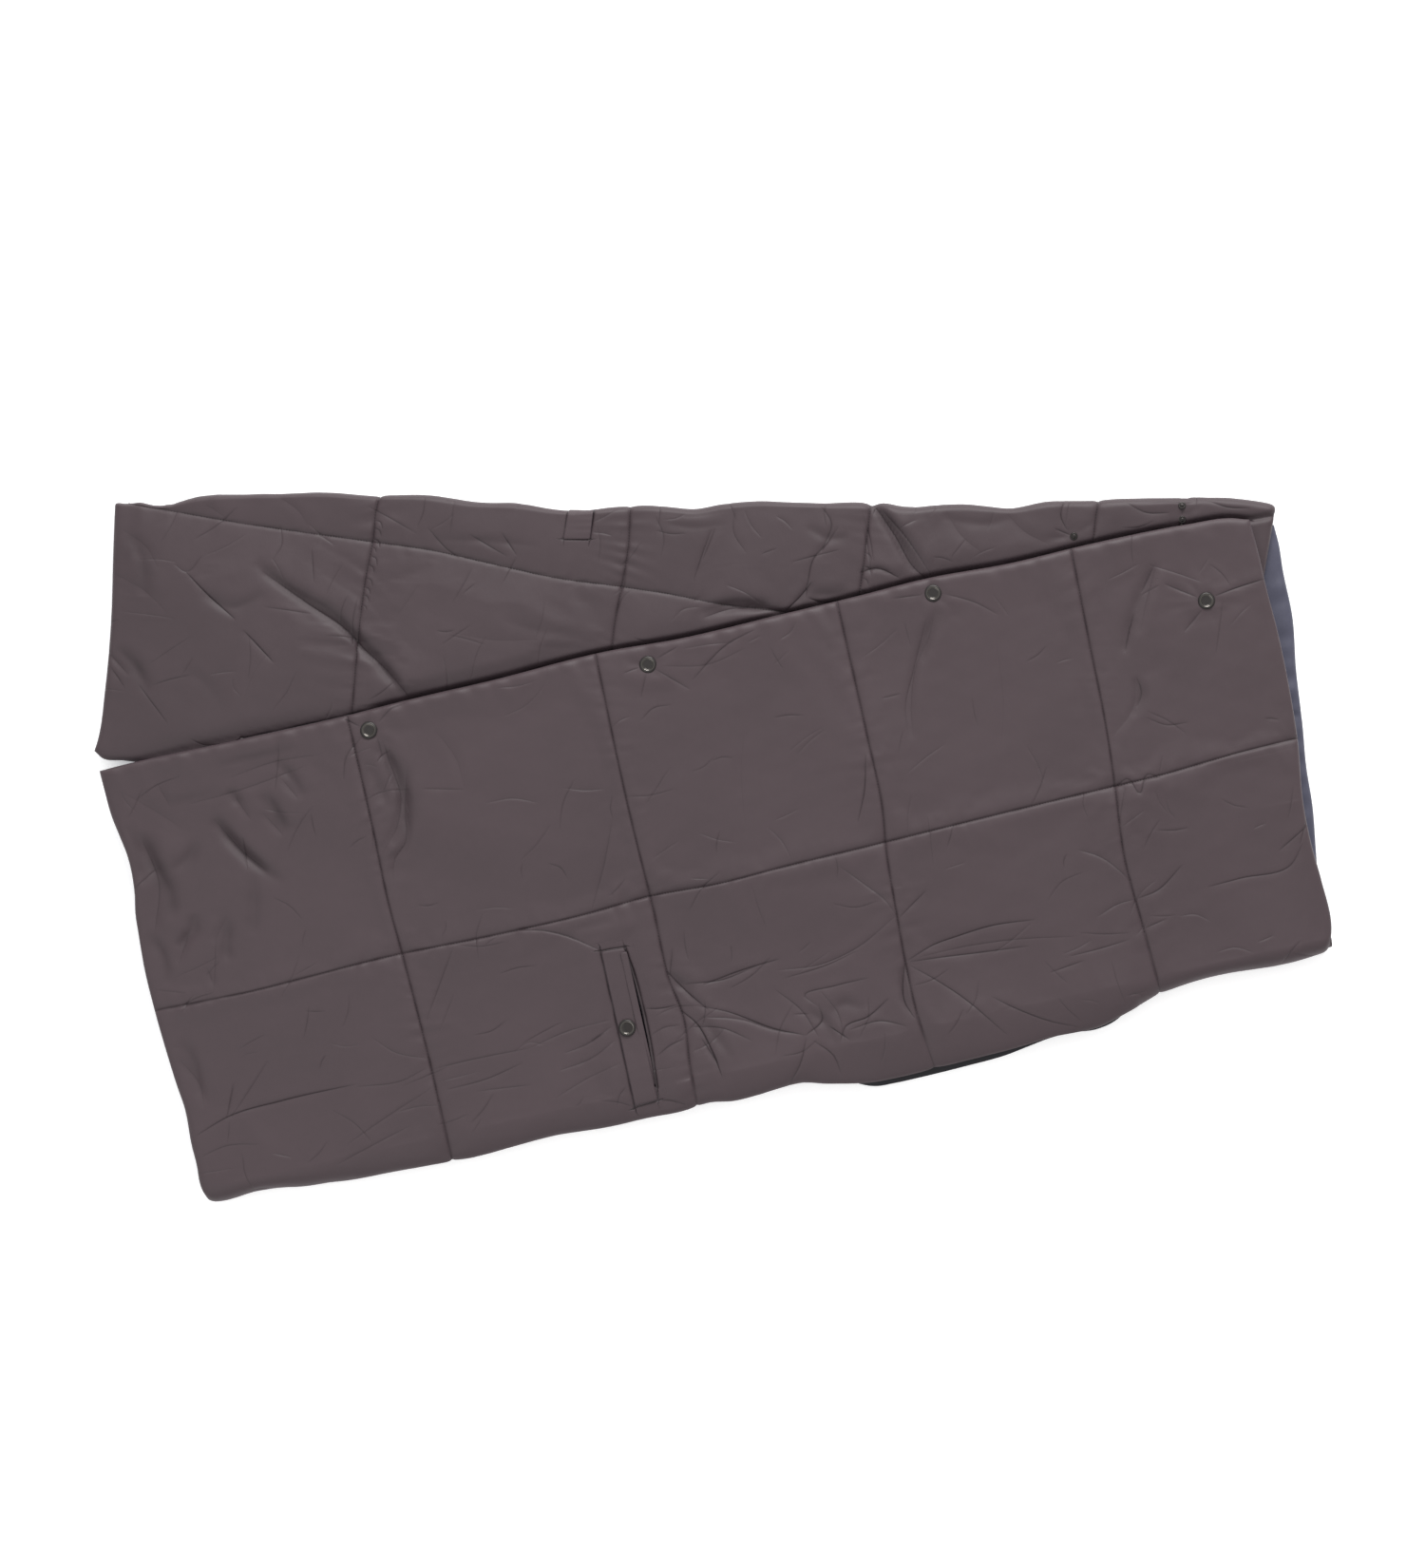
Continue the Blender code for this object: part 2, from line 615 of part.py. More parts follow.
def power_inlet(layers):
    """The inlet that the controller's lead plugs into, with its patch, rivets and pins."""
    x, y = INLET_CENTRE
    patch_low = PANEL + GAP
    patch_top = patch_low + INLET_PATCH[2]
    prism("power_inlet_patch", around(INLET_CENTRE, INLET_PATCH), patch_low, patch_top, "shell")
    base = patch_top + GAP
    flange_top = base + INLET_FLANGE[2]
    flange = around(INLET_CENTRE, INLET_FLANGE)
    housing = prism("power_inlet_housing", flange, base, flange_top, "plastic")
    face_x = x + INLET_FLANGE[0] / 2
    body_plan = around((face_x - INLET_BODY[0] / 2, y), INLET_BODY)
    body = helper(prism("inlet_body_block", body_plan, base, base + INLET_BODY[2]))
    modify(housing, body, "UNION")
    cavity_x = (face_x - INLET_CAVITY[0], face_x + 0.005)
    cavity_y = (y - INLET_CAVITY[1] / 2, y + INLET_CAVITY[1] / 2)
    low = base + (INLET_BODY[2] - INLET_CAVITY[2]) / 2
    cavity = helper(prism("inlet_cavity", rectangle(cavity_x, cavity_y), low, low + INLET_CAVITY[2]))
    modify(housing, cavity, "DIFFERENCE")

    ends = [(cavity_x[0] + GAP, y + k * PIN_PITCH) for k in (-1, 0, 1)]
    middle = low + INLET_CAVITY[2] / 2
    fasteners("power_inlet_pin", rod_profile(PIN_RADIUS, PIN_LENGTH), ends, middle, "brass", 8, True)

    offset_y = INLET_FLANGE[1] / 2 - 0.004
    places = [(x + dx, y + dy) for dx in (-0.016, 0.016) for dy in (-offset_y, offset_y)]
    shank = RIVET_RADIUS / 2
    profile = [(0, -INLET_FLANGE[2]), (shank, -INLET_FLANGE[2]), (shank, GAP), (RIVET_RADIUS, GAP)]
    profile += [(RIVET_RADIUS, 0.0010), (RIVET_RADIUS * 0.5, 0.0016), (0, 0.0016)]
    fasteners("power_inlet_rivet", profile, places, flange_top, "brass", 10)
    modify(housing, holes("rivet_holes", shank + GAP, places, base - 0.001, flange_top + 0.001), "DIFFERENCE")
    inlet_wiring(layers, face_x - INLET_BODY[0], y, base)


def inlet_wiring(layers, rear_x, y, base):
    """The lead from the rear of the inlet's body down through the lining, and the splices on it."""
    sx, sy = SPLICE_POCKET
    entry_x = INLET_CENTRE[0] - INLET_PATCH[0] / 2 - 0.012
    plan = around(((sx + entry_x) / 2, sy), (entry_x - sx + 0.026, 0.026))
    ceiling = PANEL - LINING - GAP
    pocket = helper(prism("splice_pocket", plan, 0.0030, ceiling - GAP / 2))
    for layer in ("batting", "carrier"):
        modify(layers[layer], pocket, "DIFFERENCE")
    entry_cut = holes("lead_entry", LEAD_RADIUS + 2 * GAP, [(entry_x, y)], ceiling - 0.002, PANEL + 0.002)
    modify(layers["lining"], entry_cut, "DIFFERENCE")
    high = base + INLET_BODY[2] / 2
    low = 0.0062
    knots = [
        (rear_x - GAP, high),
        (entry_x + 0.009, high),
        (entry_x + 0.002, high - 0.002),
        (entry_x, high - 0.006),
        (entry_x, low + 0.003),
        (entry_x - 0.004, low),
        (sx + SPLICE_LENGTH / 2 + GAP, low),
    ]
    plan = centred([(k[0], y) for k in knots])
    route = [Vector((p.x, p.y, k[1])) for p, k in zip(plan, knots)]
    wire("power_inlet_lead", route, LEAD_RADIUS, "plastic", 1)
    ends = [(sx - SPLICE_LENGTH / 2, sy + k * SPLICE_PITCH) for k in (-1, 0, 1)]
    fasteners("lead_splice", rod_profile(SPLICE_RADIUS, SPLICE_LENGTH), ends, low, "brass", 8, True)


def main():
    clear_scene()
    back()
    fold = Vector(FOOT_CORNER) - Vector(HEAD_CORNER)
    hinge_at("inner_flap_fold", HEAD_CORNER, INNER_Z, math.atan2(fold.y, fold.x), inner_flap())
    front = hinge_at(
        "front_flap_fold", (FOLD_HEAD_X, FOLD_Y), FRONT_FOLD_Z, 0.0, front_flap() + front_arm_slot()
    )
    welt = hinge_at("welt_seam", (WELT_X[0], WELT_Y[0]), TOP_Z, -math.pi / 2, front_arm_slot_welt())
    welt.parent = front
    welt.matrix_parent_inverse = front.matrix_world.inverted()


main()
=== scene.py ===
"""Looks of the infrared sauna blanket: three quilted panels folded in three, with their snaps and welts.

Plan places are in metres from the front flap's head corner: x runs along the front fold towards the
foot end, y from the front fold towards the rear fold. MIDDLE is the plan place of the shared frame's origin.
"""

import math
from functools import partial

import bmesh
import bpy
import numpy as np
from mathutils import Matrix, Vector
from mathutils.kdtree import KDTree


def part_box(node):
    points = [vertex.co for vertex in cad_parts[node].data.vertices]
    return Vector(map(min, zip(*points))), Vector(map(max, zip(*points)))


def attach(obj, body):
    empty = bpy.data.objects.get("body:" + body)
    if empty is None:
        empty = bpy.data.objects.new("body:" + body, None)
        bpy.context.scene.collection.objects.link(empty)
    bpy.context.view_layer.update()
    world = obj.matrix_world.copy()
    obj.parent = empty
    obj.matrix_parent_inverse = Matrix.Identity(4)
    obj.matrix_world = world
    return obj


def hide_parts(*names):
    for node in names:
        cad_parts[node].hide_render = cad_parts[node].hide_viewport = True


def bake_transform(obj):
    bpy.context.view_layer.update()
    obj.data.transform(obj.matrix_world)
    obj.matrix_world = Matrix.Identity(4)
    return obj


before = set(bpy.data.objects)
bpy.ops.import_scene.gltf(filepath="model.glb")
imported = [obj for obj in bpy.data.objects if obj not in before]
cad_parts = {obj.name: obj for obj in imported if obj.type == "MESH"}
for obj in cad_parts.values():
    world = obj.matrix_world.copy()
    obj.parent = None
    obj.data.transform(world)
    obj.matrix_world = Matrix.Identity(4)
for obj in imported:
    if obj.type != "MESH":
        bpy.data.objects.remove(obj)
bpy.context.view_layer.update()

MIDDLE = np.array((0.906, 0.5275))
TURN = math.radians(12.6)

# Heights of the panels' faces when the blanket is shut, and of its lowest cloth over the floor.
BACK_TOP = 0.0130
INNER_LOW = 0.0150
INNER_TOP = 0.0274
FRONT_LOW = 0.0314
FRONT_TOP = 0.0444
GROUND = 0.0004

# How far the padding rises over a flap's plate, and how far the simulation may sink and raise it.
PAD_RISE = 0.0046
CLOTH_RANGE = (-0.0040, 0.0045)

# The share of its tabled depth that a crease has in the mesh.
CREASE_SHARE = 0.8

# The middle of the front welt, and flat boxes round both welts: centre, half sizes.
WELT_MIDDLE = (0.697, 0.125)
WELT_BOX = (*WELT_MIDDLE, 0.030, 0.130)
REAR_WELT_BOX = (0.7835, 0.878, 0.026, 0.030)

# Grid steps of the quilts along x and y.
FRONT_STEP, INNER_STEP, INNER_ROW_STEP, BACK_STEP = (
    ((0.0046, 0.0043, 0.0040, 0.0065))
)

# ---------------------------------------------------------------------------- plan outlines and seams


def places(text):
    """Places written in millimetres, as "x y, x y"."""
    return [tuple(float(word + "e-3") for word in pair.split()) for pair in text.split(",")]


def paths(text):
    """One path on each line."""
    return [places(line) for line in text.strip().splitlines()]


def creases(text):
    """One crease on each line: its places / depth, width and lean. A seam has places / strength.

    Depth and width are in millimetres. Lean says how much the sides differ: a fold laid over has a high side.
    """
    found = []
    for line in text.strip().splitlines():
        path, numbers = line.split("/")
        found.append((places(path), *map(float, numbers.split())))
    return found


# FRONT_HEAD, FRONT_FOOT, FRONT_COLUMNS and BACK_FOOT hold y first, then x. The others hold x, then y.
FREE_EDGE = places("""-20 671, 0 672, 216 672, 384 672, 477 675, 599 676, 791 681, 886 676, 1059 678, 1175 680,
    1280 683, 1403 678, 1538 680, 1677 677, 1750 671, 1773 664, 1800 662""")
FRONT_HEAD = places("""-50 20, 0 14, 30 9, 60 10, 90 8.6, 150 10, 180 6.5, 240 1.6, 300 -1.9, 360 -3.3,
    420 -0.5, 450 1.6, 480 7, 540 8.6, 570 3.7, 600 -1.2, 640 -3, 700 -3""")
FRONT_FOOT = places("""-50 1744, 0 1750, 34 1760.5, 111 1761.5, 163 1758.5, 226 1760, 324 1773, 400 1777.5,
    489 1779, 565 1776.5, 604 1776.5, 700 1772""")
FRONT_ROW = places("""0 300, 132 297, 379 303, 515 300, 674 301, 762 306, 877 302, 963 305, 1123 308, 1207 310,
    1475 315, 1552 316, 1668 323, 1800 326""")
FRONT_COLUMNS = paths("""
-50 388, 73 388, 156 387, 304 382, 375 379, 514 381, 700 380
-50 766, 45 770, 120 776, 173 768, 288 767, 429 764, 700 766
-50 1131, 45 1121, 123 1121, 196 1124, 289 1129, 364 1138, 466 1139, 700 1139
-50 1489, 90 1483, 211 1478, 312 1487, 412 1494, 539 1497, 700 1501
""")
FRONT_FOLD = places("""0 2, 20 -3, 90 -2.5, 125 -3.2, 160 -6.7, 195 -8.8, 230 -13.7, 300 -15.8, 370 -18.6,
    405 -20, 475 -18.6, 545 -16.5, 615 -18.6, 685 -17.9, 755 -22.1, 790 -19.3, 825 -22.8, 860 -20.7, 895 -17.9,
    930 -18.6, 965 -29.1, 1000 -37, 1035 -41.5, 1070 -42, 1105 -41.2, 1140 -40.2, 1175 -39, 1210 -38.8,
    1245 -39.2, 1280 -38, 1315 -35.8, 1350 -35, 1385 -31.8, 1420 -22.5, 1455 -13.7, 1490 -6.7, 1525 -2.2,
    1665 -1.8, 1735 0.3, 1800 2""")
# Outer edge of the lining that shows from under the front fold, coloured near black as painted shade.
UNDERLAP = places("""985 -18, 1010 -40, 1035 -51, 1070 -53.5, 1105 -53.5, 1175 -52, 1245 -48.5, 1280 -43,
    1315 -38, 1350 -37.8, 1385 -40.5, 1420 -32, 1445 -12""")
INNER_HEAD = places("""-7 704, -1 714, 29 791, 61 892, 84 982, 106 1066""")
INNER_FREE = places("""-7 704, 3 690, 33 680, 200 610, 400 527, 700 401, 1000 276, 1300 151, 1560 42""")
INNER_FOOT = places("""1560 42, 1640 237, 1733 460, 1797 618, 1821 677""")
REAR_FOLD = places("""106 1066, 143 1058, 172 1047, 235 1044, 310 1032, 345 1025, 415 1011, 479 993, 563 973,
    628 949, 695 931, 765 907, 800 900, 835 894, 870 889, 924 874, 959 863, 1002 861, 1045 857, 1115 841,
    1187 822, 1229 811, 1264 797, 1325 787, 1375 777, 1393 772, 1429 762, 1485 758, 1583 738, 1693 718,
    1765 699, 1812 682, 1821 677""")
INNER_COLUMNS = paths("""
331.5 554.8, 386 673, 397 708, 414 762, 432 815, 451 868, 475 924, 488 962, 500 988
677 411, 735 545, 791 681, 802 714, 827 772, 850 830, 866 888
1006 273, 1090 475, 1175 681, 1199 746, 1222 812
1314 144.5, 1425 410, 1537 680, 1550 719, 1560 743
""")
INNER_ROW = places("""120 1062, 141 1052, 188 1032, 287 991, 387 953, 475 920, 557 889, 638 851, 742 803,
    830 771, 901 743, 969 713, 1007 700, 1060 681, 1300 575, 1705 396""")
BACK_FOOT = places("""-50 1744, 0 1748, 30 1759.5, 110 1762, 159 1769, 221 1778, 285 1782, 346 1790, 433 1799,
    513 1811, 589 1812.5, 627 1815, 660 1814, 700 1814""")
SNAPS = places("""408 643, 840 648, 1283 659, 1683 558""")
STUDS = places("""1511 697, 1677 686, 1681 707""")
WELT_CORNERS = places("676 2, 676.5 240.5, 712 238.5, 711 4")
REAR_WELT_CORNERS = places("756 861, 774 904, 811 895, 796 852")
FACING_CORNERS = places("704 27, 704 233, 714.7 233, 714.7 27")
WELT_SNAP = (0.690, 0.120)
# The opening of the front arm slot.
SLOT_X = (0.688, 0.7128)
SLOT_Y = (0.024, 0.236)
# Ends of the inner flap's straight free edge, which lies hidden under the front flap.
HIDDEN_HEAD = (-0.009, 0.697)
HIDDEN_FOOT = (1.560, 0.042)

FRONT_SEAMS = [[(x, y) for y, x in points] for points in FRONT_COLUMNS] + [FRONT_ROW]
INNER_SEAMS = [*INNER_COLUMNS, INNER_ROW]
# Lines round the two welts and along the slot's far side: painted shade, with a shallow groove in the shader.
SLOT_SHADE_LINES = creases("""
675.2 0, 675.6 120, 675.6 241.5 / 2.2
675.2 241.5, 690 241.2, 713 239.5 / 2
675.2 0, 690 1.2, 712 2.5 / 1.8
712.8 240, 715.5 200, 717.6 130, 716 70, 712 4 / 1.6
713.5 238, 718 200, 720.5 140, 719.5 80, 715 22 / 2.6
""")
REAR_WELT_SHADE_LINES = creases("""
756 861, 764.9 882.2, 773.8 903.4 / 1.6
756 861, 775.75 856.6, 795.5 852.2 / 1.4
795.8 851.8, 803.3 873.15, 810.8 894.5 / 2.6
""")
FRONT_CREASES = creases("""
375 668, 396 651 / 1.6 2.2 0.3
425 651, 451 668, 471 671 / 1.6 2.2 0.3
418 628, 420 595 / 1.6 2.5 0.3
395 636, 364 608, 354 578 / 1.4 2.5 0.3
424 625, 431 567, 434 535, 418 493, 384 456 / 4 5.5 1.2
451 575, 433 503, 425 466, 404 445, 392 404 / 3.4 4 -1
505 620, 526 575, 530 523 / 1 5 0.8
466 539, 528 524 / 0.7 3 0.5
263 600, 281 565 / 1.8 4 0.8
188 590, 204 550 / 2.2 5 1
224 556, 247 515 / 2.2 5 1
150 562, 179 508, 212 466 / 3.6 6.5 1.2
79 632, 89 598 / 1.6 4 0.8
115 593, 199 597, 304 611 / 1.2 3.5 0.6
184 618, 256 627, 330 623 / 1 3.5 0.6
20 636, 60 600, 100 560 / 1.2 5 0.6
802 643, 826 646 / 1.3 2.2 0.3
854 653, 889 664 / 1.3 2.2 0.3
834 634, 818 600 / 1.3 2.4 0.3
850 638, 894 597 / 1.4 3 0.4
862 640, 930 628, 990 640 / 1 3.5 0.5
1284 640, 1260 592, 1236 560, 1214 500, 1206 450 / 2.4 4.5 1
1266 625, 1228 548, 1206 502, 1200 455 / 1.2 3.5 -0.6
1222 664, 1266 660 / 1.2 2.4 0.3
1300 654, 1342 631, 1372 606 / 1.2 3 0.4
1670 566, 1627 596 / 2.2 2.6 0.4
1697 562, 1735 567, 1778 571 / 2.2 2.6 0.5
1674 546, 1640 519 / 1.8 2.6 0.4
1622 630, 1588 563, 1574 530 / 1.8 5 1
1553 470, 1542 427, 1500 388 / 1.6 4 1
1617 626, 1602 606, 1590 590 / 1.8 2.6 0.5
1572 562, 1558 535, 1546 508 / 2 2.6 0.6
1556 468, 1557 442, 1546 424 / 1.6 2.6 0.5
900 610, 966 652, 1010 664 / 1.6 3 0.6
1131 445, 1116 389, 1096 345 / 2 3 1
1360 560, 1350 470, 1330 400 / 0.7 6 0.8
960 520, 940 450, 930 380 / 0.6 6 0.8
18 102, 73 120, 157 126, 275 126 / 2.6 2.2 0.8
271 122, 340 116, 380 126 / 1 2.2 0.4
70 118, 92 168 / 1.6 2.6 0.8
76 118, 110 150, 150 190 / 0.8 3 0.6
389 123, 450 124, 539 122 / 1.1 2 0.4
405 88, 468 91, 525 103 / 1.3 2 0.5
450 76, 530 68 / 0.9 2 0.4
384 96, 324 75, 238 40 / 1.3 2.2 0.6
340 48, 276 31, 216 14 / 1.3 2.2 0.6
385 68, 356 73, 326 72 / 1 2 0.4
386 140, 340 160, 310 190 / 0.9 2.6 0.4
460 296, 426 243, 395 195 / 1.1 2 0.5
736 430, 708 365, 675 303 / 0.9 2 0.5
677 241, 645 266, 600 290, 560 301 / 2.6 2.4 1
668 127, 625 109, 590 103 / 1.8 2.6 0.6
668 105, 627 87, 575 79 / 1.6 2.4 0.6
669 137, 600 134, 539 122 / 1.2 2.4 0.5
668 70, 620 60, 560 40 / 0.9 2.4 0.5
722 142, 746 137, 772 137 / 2 2.4 0.5
724 68, 746 79, 771 85 / 1.6 2.4 0.5
720 100, 745 108, 770 106 / 1 2.4 0.5
713 2, 734 -4, 752 -14 / 1.6 2.4 0.5
766 190, 793 148, 815 120 / 3.4 3.6 1.2
774 128, 793 104, 806 63, 814 16 / 3.2 3 1.2
783 222, 769 182 / 1.6 3 0.5
790 165, 845 159, 900 168 / 1.8 2.2 0.6
785 100, 830 88, 870 60 / 1.4 2.6 0.6
1124 126, 1169 141, 1208 146, 1260 150, 1326 145 / 2.2 2.4 0.8
1127 124, 1177 120, 1239 114, 1310 108 / 1.9 2.2 0.6
1126 119, 1147 101, 1189 60, 1248 -17 / 1.8 2.4 0.8
1121 122, 1113 103, 1107 66, 1116 40 / 3 3.2 1
1122 196, 1052 161, 992 149, 930 155 / 1.6 2.2 0.6
1124 196, 1111 224, 1091 248, 1055 288 / 1.4 2.2 0.6
1126 192, 1176 224 / 1.4 2.2 0.5
816 158, 882 167, 937 171 / 2.2 2 0.8
938 141, 1004 146, 1056 158 / 1.2 2 0.6
803 128, 838 113, 910 68, 951 50 / 2 2.4 0.8
803 111, 865 93, 904 70, 945 53 / 1.8 2.2 -0.6
979 88, 962 108, 1010 113, 1063 114 / 1.6 2 0.6
1000 30, 1011 49, 1048 57, 1086 78 / 2.2 2.4 0.8
1016 44, 1065 47, 1104 30 / 1.6 2.4 0.6
951 50, 981 69, 979 90 / 2 2.6 0.8
796 80, 812 38 / 2.4 3 0.8
950 46, 932 9, 908 -18 / 1.8 2.6 0.8
988 56, 1013 30 / 2 2.6 0.8
920 128, 953 87, 969 44 / 1.4 3.2 0.8
960 40, 985 10, 990 -20 / 1.6 3 0.8
1237 46, 1269 20, 1319 -13, 1356 -28 / 1.8 2.6 0.8
1330 62, 1384 69 / 1.2 2 0.5
1364 80, 1410 81, 1458 85 / 1.3 2 0.5
1481 142, 1514 147, 1561 177 / 1.6 2.2 0.6
1481 170, 1441 217, 1413 233 / 1.6 2.2 0.6
1478 142, 1456 141, 1419 129 / 1.2 2.2 0.5
1484 96, 1519 103 / 1.2 2.2 0.5
1141 128, 1217 128, 1292 122, 1380 107 / 0.7 2.4 0.4
1589 136, 1640 138, 1723 143, 1745 170 / 1.7 2.2 0.7
1708 166, 1762 196 / 1.4 2.6 0.7
1740 168, 1762 210 / 1.2 3 0.7
1487 312, 1508 322, 1521 296, 1540 322, 1557 311 / 1.6 2.4 0.4
36 560, 47 487, 25 416 / 3.6 9 1
76 406, 49 360 / 2.4 4.5 0.8
136 416, 108 380 / 2.2 4.5 0.8
90 348, 94 318 / 1.6 4 0.6
19 222, 41 176, 40 140 / 2.2 5 0.8
20 70, 60 78, 110 70 / 0.9 3 0.5
""")
INNER_CREASES = creases("""
300 915, 358 851, 409 795, 424 768, 451 728, 480 672 / 5.2 4.5 1.4
189 937, 219 888, 247 850 / 2.8 2.4 0.8
255 832, 289 774 / 2.4 2.4 0.7
218 955, 189 937, 174 953 / 1.2 3 0.5
45 848, 70 804 / 2.2 4 0.8
46 822, 60 787 / 1.6 3.5 0.8
82 786, 112 720 / 1.4 3 0.6
140 690, 158 676, 180 672 / 3 4 1
668 890, 682 853 / 1.5 2.6 0.7
620 899, 644 876, 667 855 / 1.3 2.6 0.6
560 923, 582 884, 596 868 / 1.3 3 0.6
978 826, 957 794, 934 756 / 1.8 3 0.8
484 800, 530 842 / 1.1 4 0.6
382 930, 374 880 / 1 3 0.6
1222 822, 1248 754, 1263 706, 1284 676 / 5 4.5 1.4
1236 800, 1265 744, 1290 680 / 3 3.5 -0.8
1060 681, 1090 700, 1110 716 / 3.4 3.5 1
1098 694, 1117 683, 1148 679 / 3 3.5 1
937 699, 976 703, 1019 697, 1060 681 / 4.4 6 1
1166 788, 1140 765, 1120 751, 1104 720, 1095 696 / 2.4 3 0.8
984 826, 954 784 / 1.4 3 0.6
1183 714, 1208 715, 1240 693 / 3.4 3.5 1
1486 714, 1506 700 / 1.5 2.6 0.5
1509 756, 1498 730, 1503 708 / 2 3 0.8
1148 824, 1157 800, 1133 756 / 1.6 3 0.7
80 960, 120 925, 150 880 / 1.4 7 0.6
110 1020, 140 985, 150 950 / 1.4 7 0.6
240 1030, 260 1010, 268 1000 / 0.9 4 0.6
350 1018, 375 990, 385 965 / 1 4 0.6
900 865, 905 830, 893 800 / 1.2 3.5 0.6
1020 850, 1010 815, 1022 780 / 1.2 3.5 0.6
1330 775, 1345 735, 1372 700 / 1 5 0.7
1420 752, 1440 720, 1470 695 / 0.9 4 0.7
1600 728, 1625 708, 1660 700 / 1.2 3 0.6
1720 706, 1745 690, 1780 680 / 1.2 3 0.6
300 800, 260 770, 235 735 / 0.8 6 0.6
560 760, 620 735, 690 720 / 0.7 6 0.6
""")

# Broad hollows, pressed into the mesh and also darkened with painted shade.
FRONT_HOLLOWS = creases("""
148 566, 178 512, 205 474, 232 448 / 4.4 7 0.7
232 585, 246 545, 252 520 / 4.4 7.5 0.7
262 628, 281 592, 290 566 / 3.4 6 0.6
183 603, 191 576 / 3 6 0.6
170 640, 232 640, 300 642 / 2.2 5.5 0.7
58 600, 112 598, 170 602 / 1.8 6 -0.7
36 570, 46 520, 60 470, 56 430 / 4.6 9 0.7
60 500, 95 512, 120 535 / 2.8 7 0.7
52 388, 78 402, 90 430 / 4 7 0.7
122 350, 128 385, 140 410 / 3.8 6 0.7
170 378, 178 420, 190 470 / 2.4 8 0.7
404 620, 430 590, 440 545, 434 500, 410 462 / 4.2 8 1
1290 630, 1262 600, 1244 560 / 2 7 0.8
1120 120, 1112 90, 1114 50 / 2.6 5 0.8
790 120, 812 90, 835 40 / 2.4 6 0.8
770 190, 800 150 / 2.6 6 0.8
990 75, 1020 85, 1045 70 / 2.2 6 0.8
960 90, 985 60, 990 30 / 2.4 6 0.8
1617 626, 1590 590, 1562 545, 1546 508 / 2.8 6.5 0.8
16 585, 30 540, 24 490 / 2.6 7 0.6
14 420, 28 380, 24 335 / 3 6.5 0.6
30 250, 40 205, 36 160 / 2.6 6 0.6
395 600, 404 560, 412 520 / 2.8 6.5 0.6
1556 468, 1558 440, 1538 410 / 2.4 6 0.8
""")
INNER_HOLLOWS = creases("""
290 930, 350 868, 395 825, 430 770, 470 700 / 4.4 7.5 1
120 1010, 128 960, 120 915 / 3.2 9 0.7
60 850, 85 810, 95 770 / 3.4 7 0.7
205 900, 245 870, 300 880 / 2.4 7 0.7
150 800, 185 760, 200 715 / 1.4 9 0.7
1225 815, 1250 760, 1275 700 / 4 7 1.2
440 740, 460 700, 470 672 / 3 6 1
935 706, 985 712, 1040 695 / 3 6 0.8
1100 700, 1130 692, 1160 690 / 2.6 6 0.8
560 905, 640 885, 720 858 / 1.6 6 0.8
900 860, 955 835, 1005 830 / 1.6 6 0.8
1120 800, 1150 775, 1180 770 / 2 6 0.8
1320 770, 1380 745, 1430 742 / 1.4 7 0.8
640 760, 700 730, 760 720 / 1.2 9 0.8
""")

# ------------------------------------------------------------------------------------- curves and waves


def curve_at(points, where):
    """A smooth curve through (place, value) points, read at where."""
    x, y = np.array(points).T
    slope = np.gradient(y, x)
    k = np.clip(np.searchsorted(x, where) - 1, 0, len(x) - 2)
    width = x[k + 1] - x[k]
    t = np.clip((where - x[k]) / width, 0, 1)
    t2, t3 = t * t, t * t * t
    return (
        (2 * t3 - 3 * t2 + 1) * y[k]
        + (t3 - 2 * t2 + t) * width * slope[k]
        + (-2 * t3 + 3 * t2) * y[k + 1]
        + (t3 - t2) * width * slope[k + 1]
    )


def arc(line):
    """How far along a line each of its points lies."""
    return np.concatenate([[0], np.cumsum(np.hypot(*np.diff(line, axis=0).T))])


def at_arc(line, want):
    """Places along a line at the given lengths."""
    return np.stack([np.interp(want, arc(line), line[:, k]) for k in (0, 1)], axis=-1)


def smooth_path(points, step=0.004):
    """Points at even steps along a smooth line through the given ones."""
    table = np.array(points, float)
    along = arc(table)
    where = np.linspace(0, along[-1], max(3, int(along[-1] / step) + 1))
    if len(table) == 2:
        return at_arc(table, where)
    return np.stack([curve_at(np.stack([along, table[:, k]], axis=1), where) for k in (0, 1)], axis=1)


def near(points, path, reach):
    """Which points lie within reach of a path, with their signed distance and their place along it."""
    low, high = path.min(axis=0) - reach, path.max(axis=0) + reach
    chosen = np.nonzero(((points >= low) & (points <= high)).all(axis=1))[0]
    p = points[chosen]
    best = np.full(len(chosen), 1e9)
    side = np.zeros(len(chosen))
    place = np.zeros(len(chosen))
    start = 0.0
    for a, b in zip(path[:-1], path[1:]):
        d = b - a
        length = math.hypot(*d)
        t = np.clip(((p - a) @ d) / (length * length), 0, 1)
        q = p - (a + t[:, None] * d)
        far = np.hypot(q[:, 0], q[:, 1])
        better = far < best
        best[better] = far[better]
        side[better] = np.sign(d[0] * q[better, 1] - d[1] * q[better, 0])
        place[better] = start + t[better] * length
        start += length
    close = best < reach
    return chosen[close], (best * side)[close], place[close], start


def waves(points, seed, wavelength, count=9):
    """A smooth random field between about -1 and 1 with bumps of about that wavelength."""
    rng = np.random.default_rng(seed)
    total = np.zeros(len(points))
    for _ in range(count):
        angle = rng.uniform(0, 2 * math.pi)
        size = wavelength * rng.uniform(0.7, 1.6)
        turn = 2 * math.pi / size * np.array((math.cos(angle), math.sin(angle)))
        total += np.sin(points @ turn + rng.uniform(0, 2 * math.pi))
    return total / math.sqrt(count)


